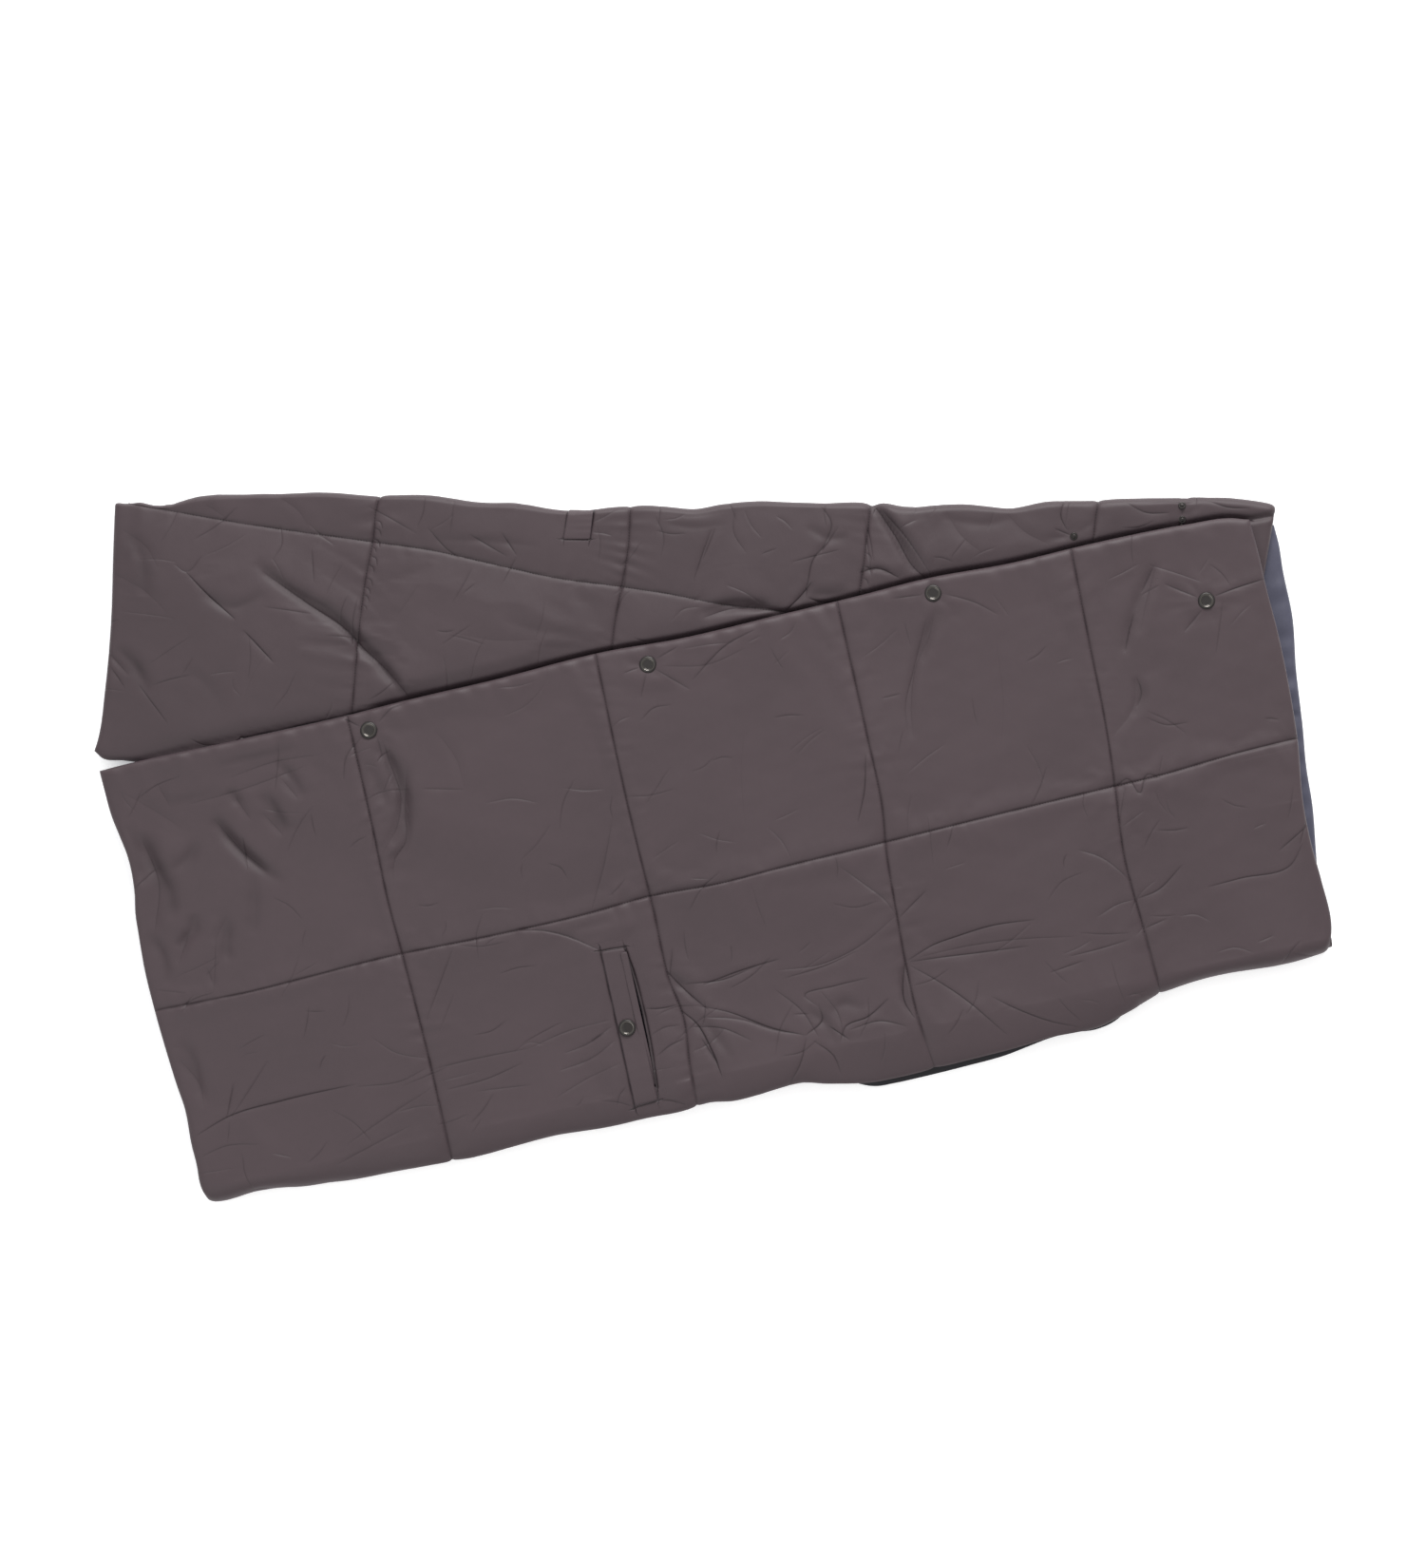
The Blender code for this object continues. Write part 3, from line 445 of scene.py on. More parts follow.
def line_noise(place, seed, wavelength, count=7):
    """The same along a line."""
    rng = np.random.default_rng(seed)
    total = np.zeros(len(place))
    for _ in range(count):
        size = wavelength * rng.uniform(0.6, 2.2)
        total += np.sin(2 * math.pi * place / size + rng.uniform(0, 2 * math.pi))
    return total / math.sqrt(count)


def ramp(values, low, high):
    """From 0 at low to 1 at high, smoothly."""
    t = np.clip((values - low) / (high - low), 0, 1)
    return t * t * (3 - 2 * t)


def tapered(place, length, power):
    """From 0 at a line's ends to 1 at its middle."""
    return np.sin(math.pi * np.clip(place / length, 0, 1)) ** power


LINE_LAYERS = 7
LINE_REACH = 0.013


def line_layers(points, lines, seams):
    """For the cloth's shader: how far each point lies from the nearest seam and creases, in millimetres.

    Each layer holds (signed distance, strength, lean). Lines that run close together go to different
    layers, so that every line stays crisp between the mesh's points.
    """
    layers = [np.zeros((len(points), 3)) for _ in range(LINE_LAYERS)]
    used = [np.zeros(len(points), bool) for _ in range(LINE_LAYERS)]
    ranked = sorted(lines, key=lambda crease: -crease[1])
    for path, strength in seams:
        ranked.insert(0, (path, -strength, 0, 0.0))
    for path, depth, width, lean in ranked:
        chosen, signed, place, length = near(points, smooth_path(path), LINE_REACH)
        if not len(chosen):
            continue
        if depth < 0:
            strength = -depth * (0.85 + 0.22 * line_noise(place, int(1000 * length), 0.05))
        else:
            strength = (0.29 + depth / 3.5) * tapered(place, length, 0.5)
            strength = strength * (1 - 0.72 * ramp(width, 2.8, 4.2))
        new = strength * (1 - ramp(np.abs(signed), 0.5 * LINE_REACH, 0.95 * LINE_REACH))
        best = int(np.argmin([flags[chosen].sum() for flags in used]))
        wins = ~used[best][chosen] | (new >= layers[best][chosen, 1])
        chosen, signed, new = chosen[wins], signed[wins], new[wins]
        turn = -1 if lean < 0 else 1
        layers[best][chosen] = np.stack([1000 * turn * signed, new, np.full(len(chosen), abs(lean))], axis=1)
        used[best][chosen] = True
    return layers


def painted_hollow_shade_layer(points, hollows):
    """For the cloth's shader: painted shade in its broad hollows, from 0 to about 1."""
    dark = np.zeros(len(points))
    uneven = 0.8 + 0.3 * waves(points, 301, 0.035)
    for path, depth, width, _ in hollows:
        size = 0.0018 * width
        chosen, signed, place, length = near(points, smooth_path(path), 2.2 * size)
        new = depth / 4.5 * tapered(place, length, 0.6) * np.exp(-((signed / size) ** 2)) * uneven[chosen]
        dark[chosen] = np.maximum(dark[chosen], new)
    return np.stack([dark, 0 * dark, 0 * dark], axis=1)


def random_creases(outline, count, seed):
    """Small creases, strewn at random, as packed nylon has them."""
    rng = np.random.default_rng(seed)
    (x0, x1), (y0, y1) = outline
    made = []
    for _ in range(count):
        centre = np.array((rng.uniform(x0, x1), rng.uniform(y0, y1)))
        angle = rng.normal(0.5, 0.8)
        length = rng.uniform(0.020, 0.085)
        bend = angle + rng.normal(0, 0.25)
        a = centre - np.array((math.cos(angle), math.sin(angle))) * length / 2
        b = centre + np.array((math.cos(bend), math.sin(bend))) * length / 2
        made.append(([a, centre, b], rng.uniform(0.1, 0.7), 2.0, rng.choice((-1, 1)) * 0.9))
    return made


def scallops(path, first, last, pitch, seed, depth=1.0):
    """Short curls of cloth that a gathered seam throws up along its left side, as creases."""
    rng = np.random.default_rng(seed)
    step = 0.001
    line = smooth_path(path, step)
    found = []
    where = first
    while where < last:
        k = int(where / step)
        along = line[k + 6] - line[k]
        along = along / np.hypot(*along)
        across = -np.array((along[1], -along[0]))
        size = rng.uniform(0.75, 1.3)
        points = [
            line[k] + across * 0.001,
            line[k] + across * 0.0075 * size + along * 0.002,
            line[k] + across * 0.0105 * size + along * 0.010 * size,
        ]
        found.append((points, depth * size, 2.0, 0.7))
        where += pitch * rng.uniform(0.75, 1.25)
    return found


FRONT_SMALL = random_creases(((0.0, 1.76), (0.0, 0.66)), 170, 5)
INNER_SMALL = (
    random_creases(((0.03, 1.75), (0.68, 1.02)), 110, 9)
    + scallops(INNER_COLUMNS[0][::-1], 0.040, 0.175, 0.016, 31)
    + scallops(INNER_COLUMNS[2][::-1], 0.075, 0.135, 0.020, 33, 0.7)
)

# ------------------------------------------------------------------------------------ cloth height fields


def add_crease(z, points, path, depth, width, lean):
    """Presses one crease into z. lean above 0 raises its left side, below 0 its right side."""
    soft = ramp(width, 2.8, 4.0)
    depth, width = depth / 1000 * (1 + 0.5 * soft), max(width * (1 + 0.35 * soft), 4.2) / 1000
    chosen, signed, place, length = near(points, smooth_path(path), 7 * width + 0.006)
    if not len(chosen):
        return
    away = np.abs(signed)
    valley = -np.exp(-((away / width) ** 1.6))
    high = signed * np.sign(lean) > 0
    ridge = np.where(high, np.exp(-away / (2.6 * width)) - np.exp(-away / (0.9 * width)), 0.0)
    z[chosen] += depth * tapered(place, length, 0.55) * (valley + abs(lean) * 1.3 * ridge)


def add_seam(z, points, path, depth, pillow, seed, pucker=0.0010, wavelength=0.020):
    """Sews a line into z: a groove, the padding that rises from it, and small puckers across it."""
    chosen, signed, place, _ = near(points, smooth_path(path, 0.010), 0.085)
    away = np.abs(signed)
    z[chosen] -= pillow * np.exp(-away / 0.016)
    z[chosen] -= depth * np.exp(-((away / 0.0026) ** 1.3))
    strength = 0.55 + 0.45 * line_noise(place, seed + 5, 0.16)
    slant = place + 0.35 * signed * line_noise(place, seed + 9, 0.30)
    for number, size in enumerate((1.0, 0.45)):
        bump = line_noise(slant + 0.002 * np.sign(signed), seed + number, wavelength * size)
        fall = np.exp(-away / (0.022 * size)) * (1 - np.exp(-away / 0.0025))
        z[chosen] += pucker * size * np.clip(strength, 0.1, 1.6) * bump * fall


def add_snap_dimple(z, points, place, depth=0.0040, seed=0, spokes=9):
    """Pulls the padding in at a snap, with spokes of gathered cloth around it."""
    d = points - np.array(place)
    r = np.hypot(d[:, 0], d[:, 1])
    chosen = np.nonzero(r < 0.10)[0]
    r, angle = r[chosen], np.arctan2(d[chosen, 1], d[chosen, 0])
    z[chosen] -= depth * np.exp(-((r / 0.020) ** 2))
    rng = np.random.default_rng(seed + 40)
    spoke = np.zeros(len(chosen))
    for _ in range(spokes):
        centre, width = rng.uniform(-math.pi, math.pi), rng.uniform(0.07, 0.16)
        reach = rng.uniform(0.018, 0.045)
        turn = np.angle(np.exp(1j * (angle - centre)))
        spoke -= np.exp(-((turn / width) ** 2)) * np.exp(-((r - 0.014) / reach) ** 2) * (r > 0.009)
    z[chosen] += 0.0011 * spoke


def lining_seam(z, points, path, seed):
    """A seam of the front flap's lining, which hangs down between its seams."""
    chosen, signed, place, _ = near(points, smooth_path(path, 0.010), 0.06)
    away = np.abs(signed)
    z[chosen] += 0.0018 * np.exp(-away / 0.014) + 0.0012 * np.exp(-((away / 0.003) ** 2))
    bump = line_noise(place, seed, 0.022)
    z[chosen] += 0.0006 * bump * np.exp(-away / 0.020) * (1 - np.exp(-away / 0.003))


def hidden_edge(x):
    """Where the inner flap's straight free edge lies under the front flap."""
    return HIDDEN_HEAD[1] + (x - HIDDEN_HEAD[0]) * (HIDDEN_FOOT[1] - HIDDEN_HEAD[1]) / (HIDDEN_FOOT[0] - HIDDEN_HEAD[0])


def front_sag(points):
    """How far the front flap sinks where no inner flap lies under it."""
    x, y = points.T
    inside = ramp(hidden_edge(x) - y, 0.0, 0.11)
    return 0.0065 * inside * ramp(y, 0.03, 0.13) * ramp(1.45 - x, 0.0, 0.25)


def front_height(points):
    """Height of the front flap's outer face over its plate."""
    x, y = points.T
    z = np.full(len(points), PAD_RISE)
    z += 0.0011 * waves(points, 3, 0.30) + 0.0004 * waves(points, 4, 0.11)
    z += 0.00016 * waves(points, 5, 0.045)
    for path, seed in zip(FRONT_SEAMS, (1, 11, 21, 31, 71)):
        add_seam(z, points, path, 0.0016, 0.0036, seed)
    edge = smooth_path([(px, py - 0.004) for px, py in FREE_EDGE], 0.010)
    chosen, signed, place, _ = near(points, edge, 0.060)
    z[chosen] += 0.0009 * line_noise(place + 0.3 * signed, 81, 0.026) * np.exp(-np.abs(signed) / 0.018)
    for path, depth, width, lean in FRONT_CREASES + FRONT_SMALL + FRONT_HOLLOWS:
        add_crease(z, points, path, depth * CREASE_SHARE, width, lean)
    for k, place in enumerate(SNAPS):
        add_snap_dimple(z, points, place, seed=k)
    welt_gap = np.maximum(np.abs(x - WELT_MIDDLE[0]) - 0.026, np.abs(y - WELT_MIDDLE[1]) - 0.125)
    z -= 0.0035 * (1 - ramp(welt_gap, -0.004, 0.022))
    head, foot = x - 0.004, 1.772 - x
    z -= 0.0035 * np.exp(-np.maximum(head, 0) / 0.030) + 0.0030 * np.exp(-np.maximum(foot, 0) / 0.028)
    return z


def front_underside(points):
    """How far the front flap's lining lies over its plate's lower face."""
    z = np.zeros(len(points))
    z -= 0.0006 + 0.0004 * waves(points, 6, 0.16)
    for path, seed in zip(FRONT_SEAMS, (3, 13, 23, 33, 73)):
        lining_seam(z, points, path, seed)
    return np.clip(z, -0.0016, 0.004)


def inner_height(points):
    """Height of the inner flap's outer face over its plate."""
    x, y = points.T
    z = np.full(len(points), PAD_RISE)
    z += 0.0014 * waves(points, 23, 0.26) + 0.0005 * waves(points, 24, 0.10)
    z += 0.00018 * waves(points, 25, 0.045)
    for k, path in enumerate(INNER_COLUMNS):
        add_seam(z, points, path, 0.0016, 0.0034, 100 + 10 * k, 0.0011 if k else 0.0022, 0.024)
    add_seam(z, points, INNER_ROW, 0.0014, 0.0030, 171)
    for path, depth, width, lean in INNER_CREASES + INNER_SMALL + INNER_HOLLOWS:
        add_crease(z, points, path, depth * CREASE_SHARE, width, lean)
    for k, place in enumerate(STUDS):
        add_snap_dimple(z, points, place, 0.0022, 20 + k, 5)
    # Under the front flap the padding is pressed flat, and along its free edge a trough keeps the shadow.
    under = curve_at(FREE_EDGE, x) - y
    pressed = ramp(under, -0.035, 0.012) * ramp(1.80 - x, 0, 0.03)
    z = z * (1 - pressed) + np.minimum(z, 0.0026) * pressed
    z = np.where(under > 0.012, np.minimum(z, 0.0032), z)
    trough = np.exp(-(((under + 0.001) / 0.0044) ** 2))
    z -= 0.0072 * trough * ramp(x, 0.015, 0.08) * (0.55 + 0.45 * ramp(x, 0.30, 0.55))
    head = np.maximum(x - (0.02 + (y - 0.704) * 0.3), 0)
    z -= 0.0028 * np.exp(-head / 0.030)
    return np.maximum(z, -0.006)


def back_height(points):
    """Height of the back panel's lining over its plate."""
    x, y = points.T
    z = np.full(len(points), 0.0040)
    z += 0.0008 * waves(points, 31, 0.22) + 0.0003 * waves(points, 32, 0.07)
    for k, path in enumerate(FRONT_SEAMS[:-1]):
        add_seam(z, points, path[:-1] + [(path[-1][0], 1.05)], 0.0020, 0.0030, 210 + 10 * k, 0.0007)
    add_seam(z, points, [(0.0, 0.36), (1.80, 0.36)], 0.0020, 0.0030, 271, 0.0007)
    add_seam(z, points, [(0.0, 0.70), (1.80, 0.66)], 0.0020, 0.0030, 281, 0.0007)
    foot_line = smooth_path([(px, py) for py, px in BACK_FOOT], 0.010)
    chosen, signed, place, _ = near(points, foot_line, 0.07)
    away = np.abs(signed)
    gather = line_noise(place + 0.25 * signed, 291, 0.034)
    z[chosen] += 0.0016 * gather * np.exp(-away / 0.030) * (1 - np.exp(-away / 0.003))
    # The lining lies flat where the inner flap covers it and round the inlet.
    covered = ramp(y - hidden_edge(x), -0.045, -0.010)
    foot_edge = 1.560 + (y - 0.042) * 0.411
    covered = covered * ramp(foot_edge - x, -0.030, 0.0)
    inlet = np.maximum(np.abs(x - 1.715) - 0.040, np.abs(y - 0.075) - 0.036)
    flat = np.maximum(covered, 1 - ramp(inlet, 0.0, 0.020))
    return z * (1 - flat) + np.minimum(z, 0.0006) * flat


# -------------------------------------------------------------------------------------- cloth simulation

CLOTH_RULES = {
    "quality": 4, "mass": 0.15, "air_damping": 2.0, "tension_stiffness": 20, "compression_stiffness": 20,
    "shear_stiffness": 8, "bending_stiffness": 1.2, "tension_damping": 8, "compression_damping": 8,
    "shear_damping": 8, "vertex_group_mass": "sewn", "vertex_group_shrink": "grow", "shrink_min": 0.0,
    "shrink_max": -0.14, "use_pressure": True, "uniform_pressure_force": 0.7,
}
CLOTH_FRAMES = 16
GROWTH_LEVELS = 9


def cells(o):
    """The four corners of every cell of a grid of point numbers."""
    return np.stack([o[:-1, :-1], o[1:, :-1], o[1:, 1:], o[:-1, 1:]], axis=-1)


def settle(grid, pinned, growth):
    """Lets a sheet of cloth grow a little between its seams and settle, in Blender's own simulation.

    grid holds the sheet's points, pinned says which of them are sewn down, growth how much the others
    grow. Returns how far each point has moved.
    """
    nu, nv = grid.shape[:2]
    quads = cells(np.arange(nu * nv).reshape(nu, nv)).reshape(-1, 4)
    flip = (np.random.default_rng(7).random(len(quads)) < 0.5)[:, None]
    first = np.where(flip, quads[:, [0, 1, 2]], quads[:, [0, 1, 3]])
    second = np.where(flip, quads[:, [0, 2, 3]], quads[:, [1, 2, 3]])
    mesh = bpy.data.meshes.new("sheet")
    mesh.from_pydata(grid.reshape(-1, 3).tolist(), [], np.concatenate([first, second]).tolist())
    sheet = add_object("sheet", mesh)
    pins = sheet.vertex_groups.new(name="sewn")
    pins.add(np.nonzero(pinned.ravel())[0].tolist(), 1.0, "REPLACE")
    grow = sheet.vertex_groups.new(name="grow")
    for level in np.linspace(0, 1, GROWTH_LEVELS):
        members = np.nonzero(np.abs(growth.ravel() - level) <= 0.5 / (GROWTH_LEVELS - 1))[0].tolist()
        if members:
            grow.add(members, float(level), "REPLACE")
    cloth = sheet.modifiers.new("cloth", "CLOTH")
    for rule, value in CLOTH_RULES.items():
        setattr(cloth.settings, rule, value)
    cloth.settings.effector_weights.gravity = 0
    cloth.collision_settings.use_collision = False
    cloth.collision_settings.use_self_collision = False
    cloth.point_cache.frame_start, cloth.point_cache.frame_end = 1, CLOTH_FRAMES
    scene = bpy.context.scene
    for frame_number in range(1, CLOTH_FRAMES + 1):
        scene.frame_set(frame_number)
    settled = sheet.evaluated_get(bpy.context.evaluated_depsgraph_get()).to_mesh()
    moved = np.empty(len(settled.vertices) * 3)
    settled.vertices.foreach_get("co", moved)
    sheet.modifiers.remove(cloth)
    bpy.data.objects.remove(sheet)
    scene.frame_set(1)
    return moved.reshape(nu, nv, 3) - grid


def spread(coarse, shape):
    """Values on every second line of a grid, brought smoothly to all its lines."""
    for axis in (0, 1):
        at = np.arange(shape[axis]) / 2.0
        low = np.clip(np.floor(at).astype(int), 0, coarse.shape[axis] - 2)
        part = at - low
        part = part * part * (3 - 2 * part) * 0.35 + part * 0.65
        part = part.reshape((-1, 1, 1) if axis == 0 else (1, -1, 1))
        coarse = np.take(coarse, low, axis) * (1 - part) + np.take(coarse, low + 1, axis) * part
    return coarse


def puffed(outer, seams, snaps, keep_flat):
    """What the cloth simulation adds to a quilt's outer face. keep_flat is a box: centre, half sizes."""
    coarse = outer[::2, ::2].copy()
    plan = coarse[..., :2].reshape(-1, 2)
    gap = np.full(len(plan), 1.0)
    for path in seams:
        chosen, signed, _, _ = near(plan, smooth_path(path, 0.010), 0.10)
        gap[chosen] = np.minimum(gap[chosen], np.abs(signed))
    for place in snaps:
        gap = np.minimum(gap, np.maximum(np.hypot(*(plan - place).T) - 0.012, 0))
    x, y, half_x, half_y = keep_flat
    box = np.maximum(np.abs(plan[:, 0] - x) - half_x, np.abs(plan[:, 1] - y) - half_y)
    gap = np.minimum(gap, np.maximum(box, 0)).reshape(coarse.shape[:2])
    pinned = gap < 0.0035
    pinned[[0, -1], :] = True
    pinned[:, [0, -1]] = True
    moved = settle(coarse, pinned, np.clip(0.3 + np.exp(-gap / 0.035), 0, 1))
    moved[..., 2] = np.clip(moved[..., 2], *CLOTH_RANGE)
    return spread(moved, outer.shape[:2])


# ------------------------------------------------------------------------------------ grids and meshes

# The first grid steps beside an edge or a seam.
LEAD = (0.0011, 0.0028, 0.0052)


def graded(length, step):
    """Places from 0 to 1 along a span: fine steps at both ends, and an even number of cells."""
    ends = np.array((0.0, *LEAD))
    middle = length - 2 * ends[-1]
    if middle < step:
        return np.linspace(0, 1, 3)
    count = max(2, round(middle / step))
    count += count % 2
    inside = ends[-1] + middle * np.arange(1, count) / count
    return np.concatenate([ends, inside, length - ends[::-1]]) / length


def spans(lengths, step):
    """For each grid line: which span it is in and how far along it."""
    which, part = [0], [0.0]
    for k, length in enumerate(lengths):
        steps = graded(length, step)[1:]
        which += [k] * len(steps)
        part += list(steps)
    return np.array(which), np.array(part)


def between(lines, which, part, where):
    """The grid lines' places, each between its two neighbouring lines, at the other coordinate where."""
    values = [line(where) for line in lines]
    which = np.broadcast_to(which, where.shape)
    low, high = np.choose(which, values[:-1]), np.choose(which, values[1:])
    return low + (high - low) * part


def add_object(name, mesh):
    """Puts a mesh into the scene."""
    obj = bpy.data.objects.new(name, mesh)
    bpy.context.scene.collection.objects.link(obj)
    return obj


def make_mesh(name, points, faces, materials, slots=None, origin=(*MIDDLE, 0.0)):
    """A smooth mesh. Its points are plan places unless another origin is given."""
    mesh = bpy.data.meshes.new(name)
    mesh.from_pydata((np.array(points) - origin).tolist(), [], faces)
    for finish in materials:
        mesh.materials.append(finish)
    if slots:
        mesh.polygons.foreach_set("material_index", np.array(slots, dtype=np.int32))
    mesh.shade_smooth()
    return mesh


def clean(mesh):
    """Drops points that no face uses and turns all faces outwards."""
    bm = bmesh.new()
    bm.from_mesh(mesh)
    bmesh.ops.delete(bm, geom=[v for v in bm.verts if not v.link_faces], context="VERTS")
    bmesh.ops.recalc_face_normals(bm, faces=bm.faces)
    bm.to_mesh(mesh)
    bm.free()


def far_face(o, inside):
    """Point numbers for a closed piece's other face: its border is shared and the inside is new."""
    far = o.copy()
    far[inside] = o.size + np.arange(far[inside].size).reshape(far[inside].shape)
    return far


def build_quilt(name, outer, inner, materials, layers=(), hole=None):
    """One closed pad from two grids of points: outer at full detail and inner at half detail.

    They share their outline. hole is a range of columns and rows, on even lines, that is left open.
    """
    nu, nv = outer.shape[:2]
    inside = np.s_[2:-2:2, 2:-2:2]
    o = np.arange(nu * nv).reshape(nu, nv)
    i = far_face(o, inside)
    points = np.concatenate([outer.reshape(-1, 3), inner[inside].reshape(-1, 3)])
    (i0, i1), (j0, j1) = hole or ((0, 0), (0, 0))
    keep = np.ones((nu - 1, nv - 1), bool)
    keep[i0:i1, j0:j1] = False
    faces = cells(o)[keep].tolist()
    slots = [0] * len(faces)
    for a in range(0, nu - 1, 2):
        for b in range(0, nv - 1, 2):
            if not keep[a, b]:
                continue
            # The outer grid's odd points join in only along the outline.
            ring = [
                i[a, b], (a == 0) * o[a, b + 1], i[a, b + 2], (b + 2 == nv - 1) * o[a + 1, b + 2],
                i[a + 2, b + 2], (a + 2 == nu - 1) * o[a + 2, b + 1], i[a + 2, b], (b == 0) * o[a + 1, b],
            ]
            faces.append([int(v) for n, v in enumerate(ring) if n % 2 == 0 or v])
            slots.append(1)
    walls = []
    for a in range(i0, i1, 2):
        walls.append((o[a, j0], o[a + 1, j0], o[a + 2, j0], i[a + 2, j0], i[a, j0]))
        walls.append((o[a + 2, j1], o[a + 1, j1], o[a, j1], i[a, j1], i[a + 2, j1]))
    for b in range(j0, j1, 2):
        walls.append((o[i0, b + 2], o[i0, b + 1], o[i0, b], i[i0, b], i[i0, b + 2]))
        walls.append((o[i1, b], o[i1, b + 1], o[i1, b + 2], i[i1, b + 2], i[i1, b]))
    faces += [[int(v) for v in wall] for wall in walls]
    slots += [2] * len(walls)
    mesh = make_mesh(name, points, faces, materials, slots)
    for number, layer in enumerate(layers):
        attribute = mesh.attributes.new(f"line_{number}", "FLOAT_VECTOR", "POINT")
        values = np.zeros((len(points), 3), np.float32)
        values[: nu * nv] = layer
        attribute.data.foreach_set("vector", values.ravel())
    clean(mesh)
    return add_object(name, mesh)


def rounded(outer, inner, edge, width=0.010):
    """Brings two faces of a pad together along its edges, in a round."""
    part = np.clip(edge / width, 0, 1)
    round_off = np.sqrt(np.clip(1 - (1 - part) ** 2, 0, 1))[..., None]
    middle, half = (outer + inner) / 2, (outer - inner) / 2
    return middle + half * round_off, middle - half * round_off


def half_round(top, bottom, angle):
    """Height on a half circle that starts at top and ends at bottom."""
    return (top + bottom) / 2 + (top - bottom) / 2 * math.cos(angle)


# ----------------------------------------------------------------------------------------- the panels


def front_quilt(finishes):
    """The front flap with the roll of cloth at the front fold."""
    column_lines = [
        lambda y: curve_at(FRONT_HEAD, y),
        lambda y: curve_at(FRONT_COLUMNS[0], y),
        lambda y: np.full_like(y, SLOT_X[0]),
        lambda y: SLOT_X[1] + 0.0042 * tapered(y - SLOT_Y[0], SLOT_Y[1] - SLOT_Y[0], 1),
        lambda y: curve_at(FRONT_COLUMNS[1], y),
        lambda y: curve_at(FRONT_COLUMNS[2], y),
        lambda y: curve_at(FRONT_COLUMNS[3], y),
        lambda y: curve_at(FRONT_FOOT, y),
    ]
    start = 0.022
    row_lines = [
        lambda x: curve_at(FREE_EDGE, x),
        lambda x: curve_at(FRONT_ROW, x),
        lambda x: np.full_like(x, SLOT_Y[1]),
        lambda x: np.full_like(x, SLOT_Y[0]),
        lambda x: np.full_like(x, start),
    ]
    middle_x, middle_y = np.array([0.9]), np.array([0.3])
    u_which, u_part = spans(np.diff([float(line(middle_y)[0]) for line in column_lines]), FRONT_STEP)
    v_which, v_part = spans(-np.diff([float(line(middle_x)[0]) for line in row_lines]), FRONT_STEP)
    flat_rows, roll_rows = len(v_which), 28
    y = np.zeros((len(u_which), flat_rows)) + middle_y
    for _ in range(5):
        x = between(column_lines, u_which[:, None], u_part[:, None], y)
        y = between(row_lines, v_which[None, :], v_part[None, :], x)

    # The roll. Where the fold reaches far out, the top layer overhangs and the cloth tucks in below it.
    angle = np.minimum(math.pi * np.arange(1, roll_rows + 1) / (roll_rows - 2), math.pi)
    reach = start - curve_at(FRONT_FOLD, x[:, -1])
    round_part = np.minimum(reach, 0.036)
    overhang = np.where(angle < 0.95, ramp(angle, 0.0, 0.95), np.exp(-(((angle - 0.95) / 0.5) ** 2)))
    extra = np.zeros_like(reach)
    for _ in range(8):
        profile = round_part[:, None] * np.sin(angle) + extra[:, None] * overhang
        extra = np.maximum(extra + reach - profile.max(axis=1), 0)
    roll_y = start - round_part[:, None] * np.sin(angle) - extra[:, None] * overhang
    roll_y[:, -2:] = np.array((0.018, 0.014))
    roll_x = np.repeat(x[:, -1:], roll_rows, axis=1)
    edge_shift = curve_at(FRONT_HEAD, roll_y) - curve_at(FRONT_HEAD, np.array([start]))[0]
    roll_x = roll_x + edge_shift * (1 - ramp(roll_x, 0.02, 0.20))
    gx = np.concatenate([x, roll_x], axis=1)
    gy = np.concatenate([y, roll_y], axis=1)

    plan = np.stack([gx.ravel(), gy.ravel()], axis=1)
    z = front_height(plan).reshape(gx.shape)
    sag = front_sag(plan).reshape(gx.shape)
    below = front_underside(plan).reshape(gx.shape)
    outer = np.stack([gx, gy, FRONT_TOP + z - sag], axis=-1)
    inner = np.stack([gx, gy, FRONT_LOW - sag + below], axis=-1)
    flat = outer[:, :flat_rows]
    flat += puffed(flat, FRONT_SEAMS, [*SNAPS, WELT_SNAP], WELT_BOX)

    wave = 0.0016 * line_noise(gx[:, 0], 77, 0.22)
    top_rise = 0.0035
    for j, a in enumerate(angle, flat_rows):
        bump = z[:, j] - top_rise
        outer[:, j, 2] = half_round(FRONT_TOP + top_rise, GROUND, a) + bump * max(0.0, math.cos(a))
        outer[:, j, 1] = gy[:, j] - (bump * 0.8 + wave) * math.sin(a) * (1 if a < 2.4 else 0.4)
        inner[:, j, 2] = half_round(FRONT_LOW - 0.0002, BACK_TOP + 0.0005, a)
        inner[:, j, 1] = start - np.maximum(round_part - 0.012, 0.012) * math.sin(a)
    outer[:, -2, 2] = GROUND
    inner[:, -2, 2] = BACK_TOP + 0.0005
    outer[:, -1, 2] = inner[:, -1, 2] = 0.0060
    inner[:, -2:, 1] = gy[:, -2:]

    head = gx - curve_at(FRONT_HEAD, gy)
    foot = curve_at(FRONT_FOOT, gy) - gx
    free = curve_at(FREE_EDGE, gx) - gy
    outer, inner = rounded(outer, inner, np.minimum(np.minimum(head, foot), free))
    outer[:, -1] = inner[:, -1]

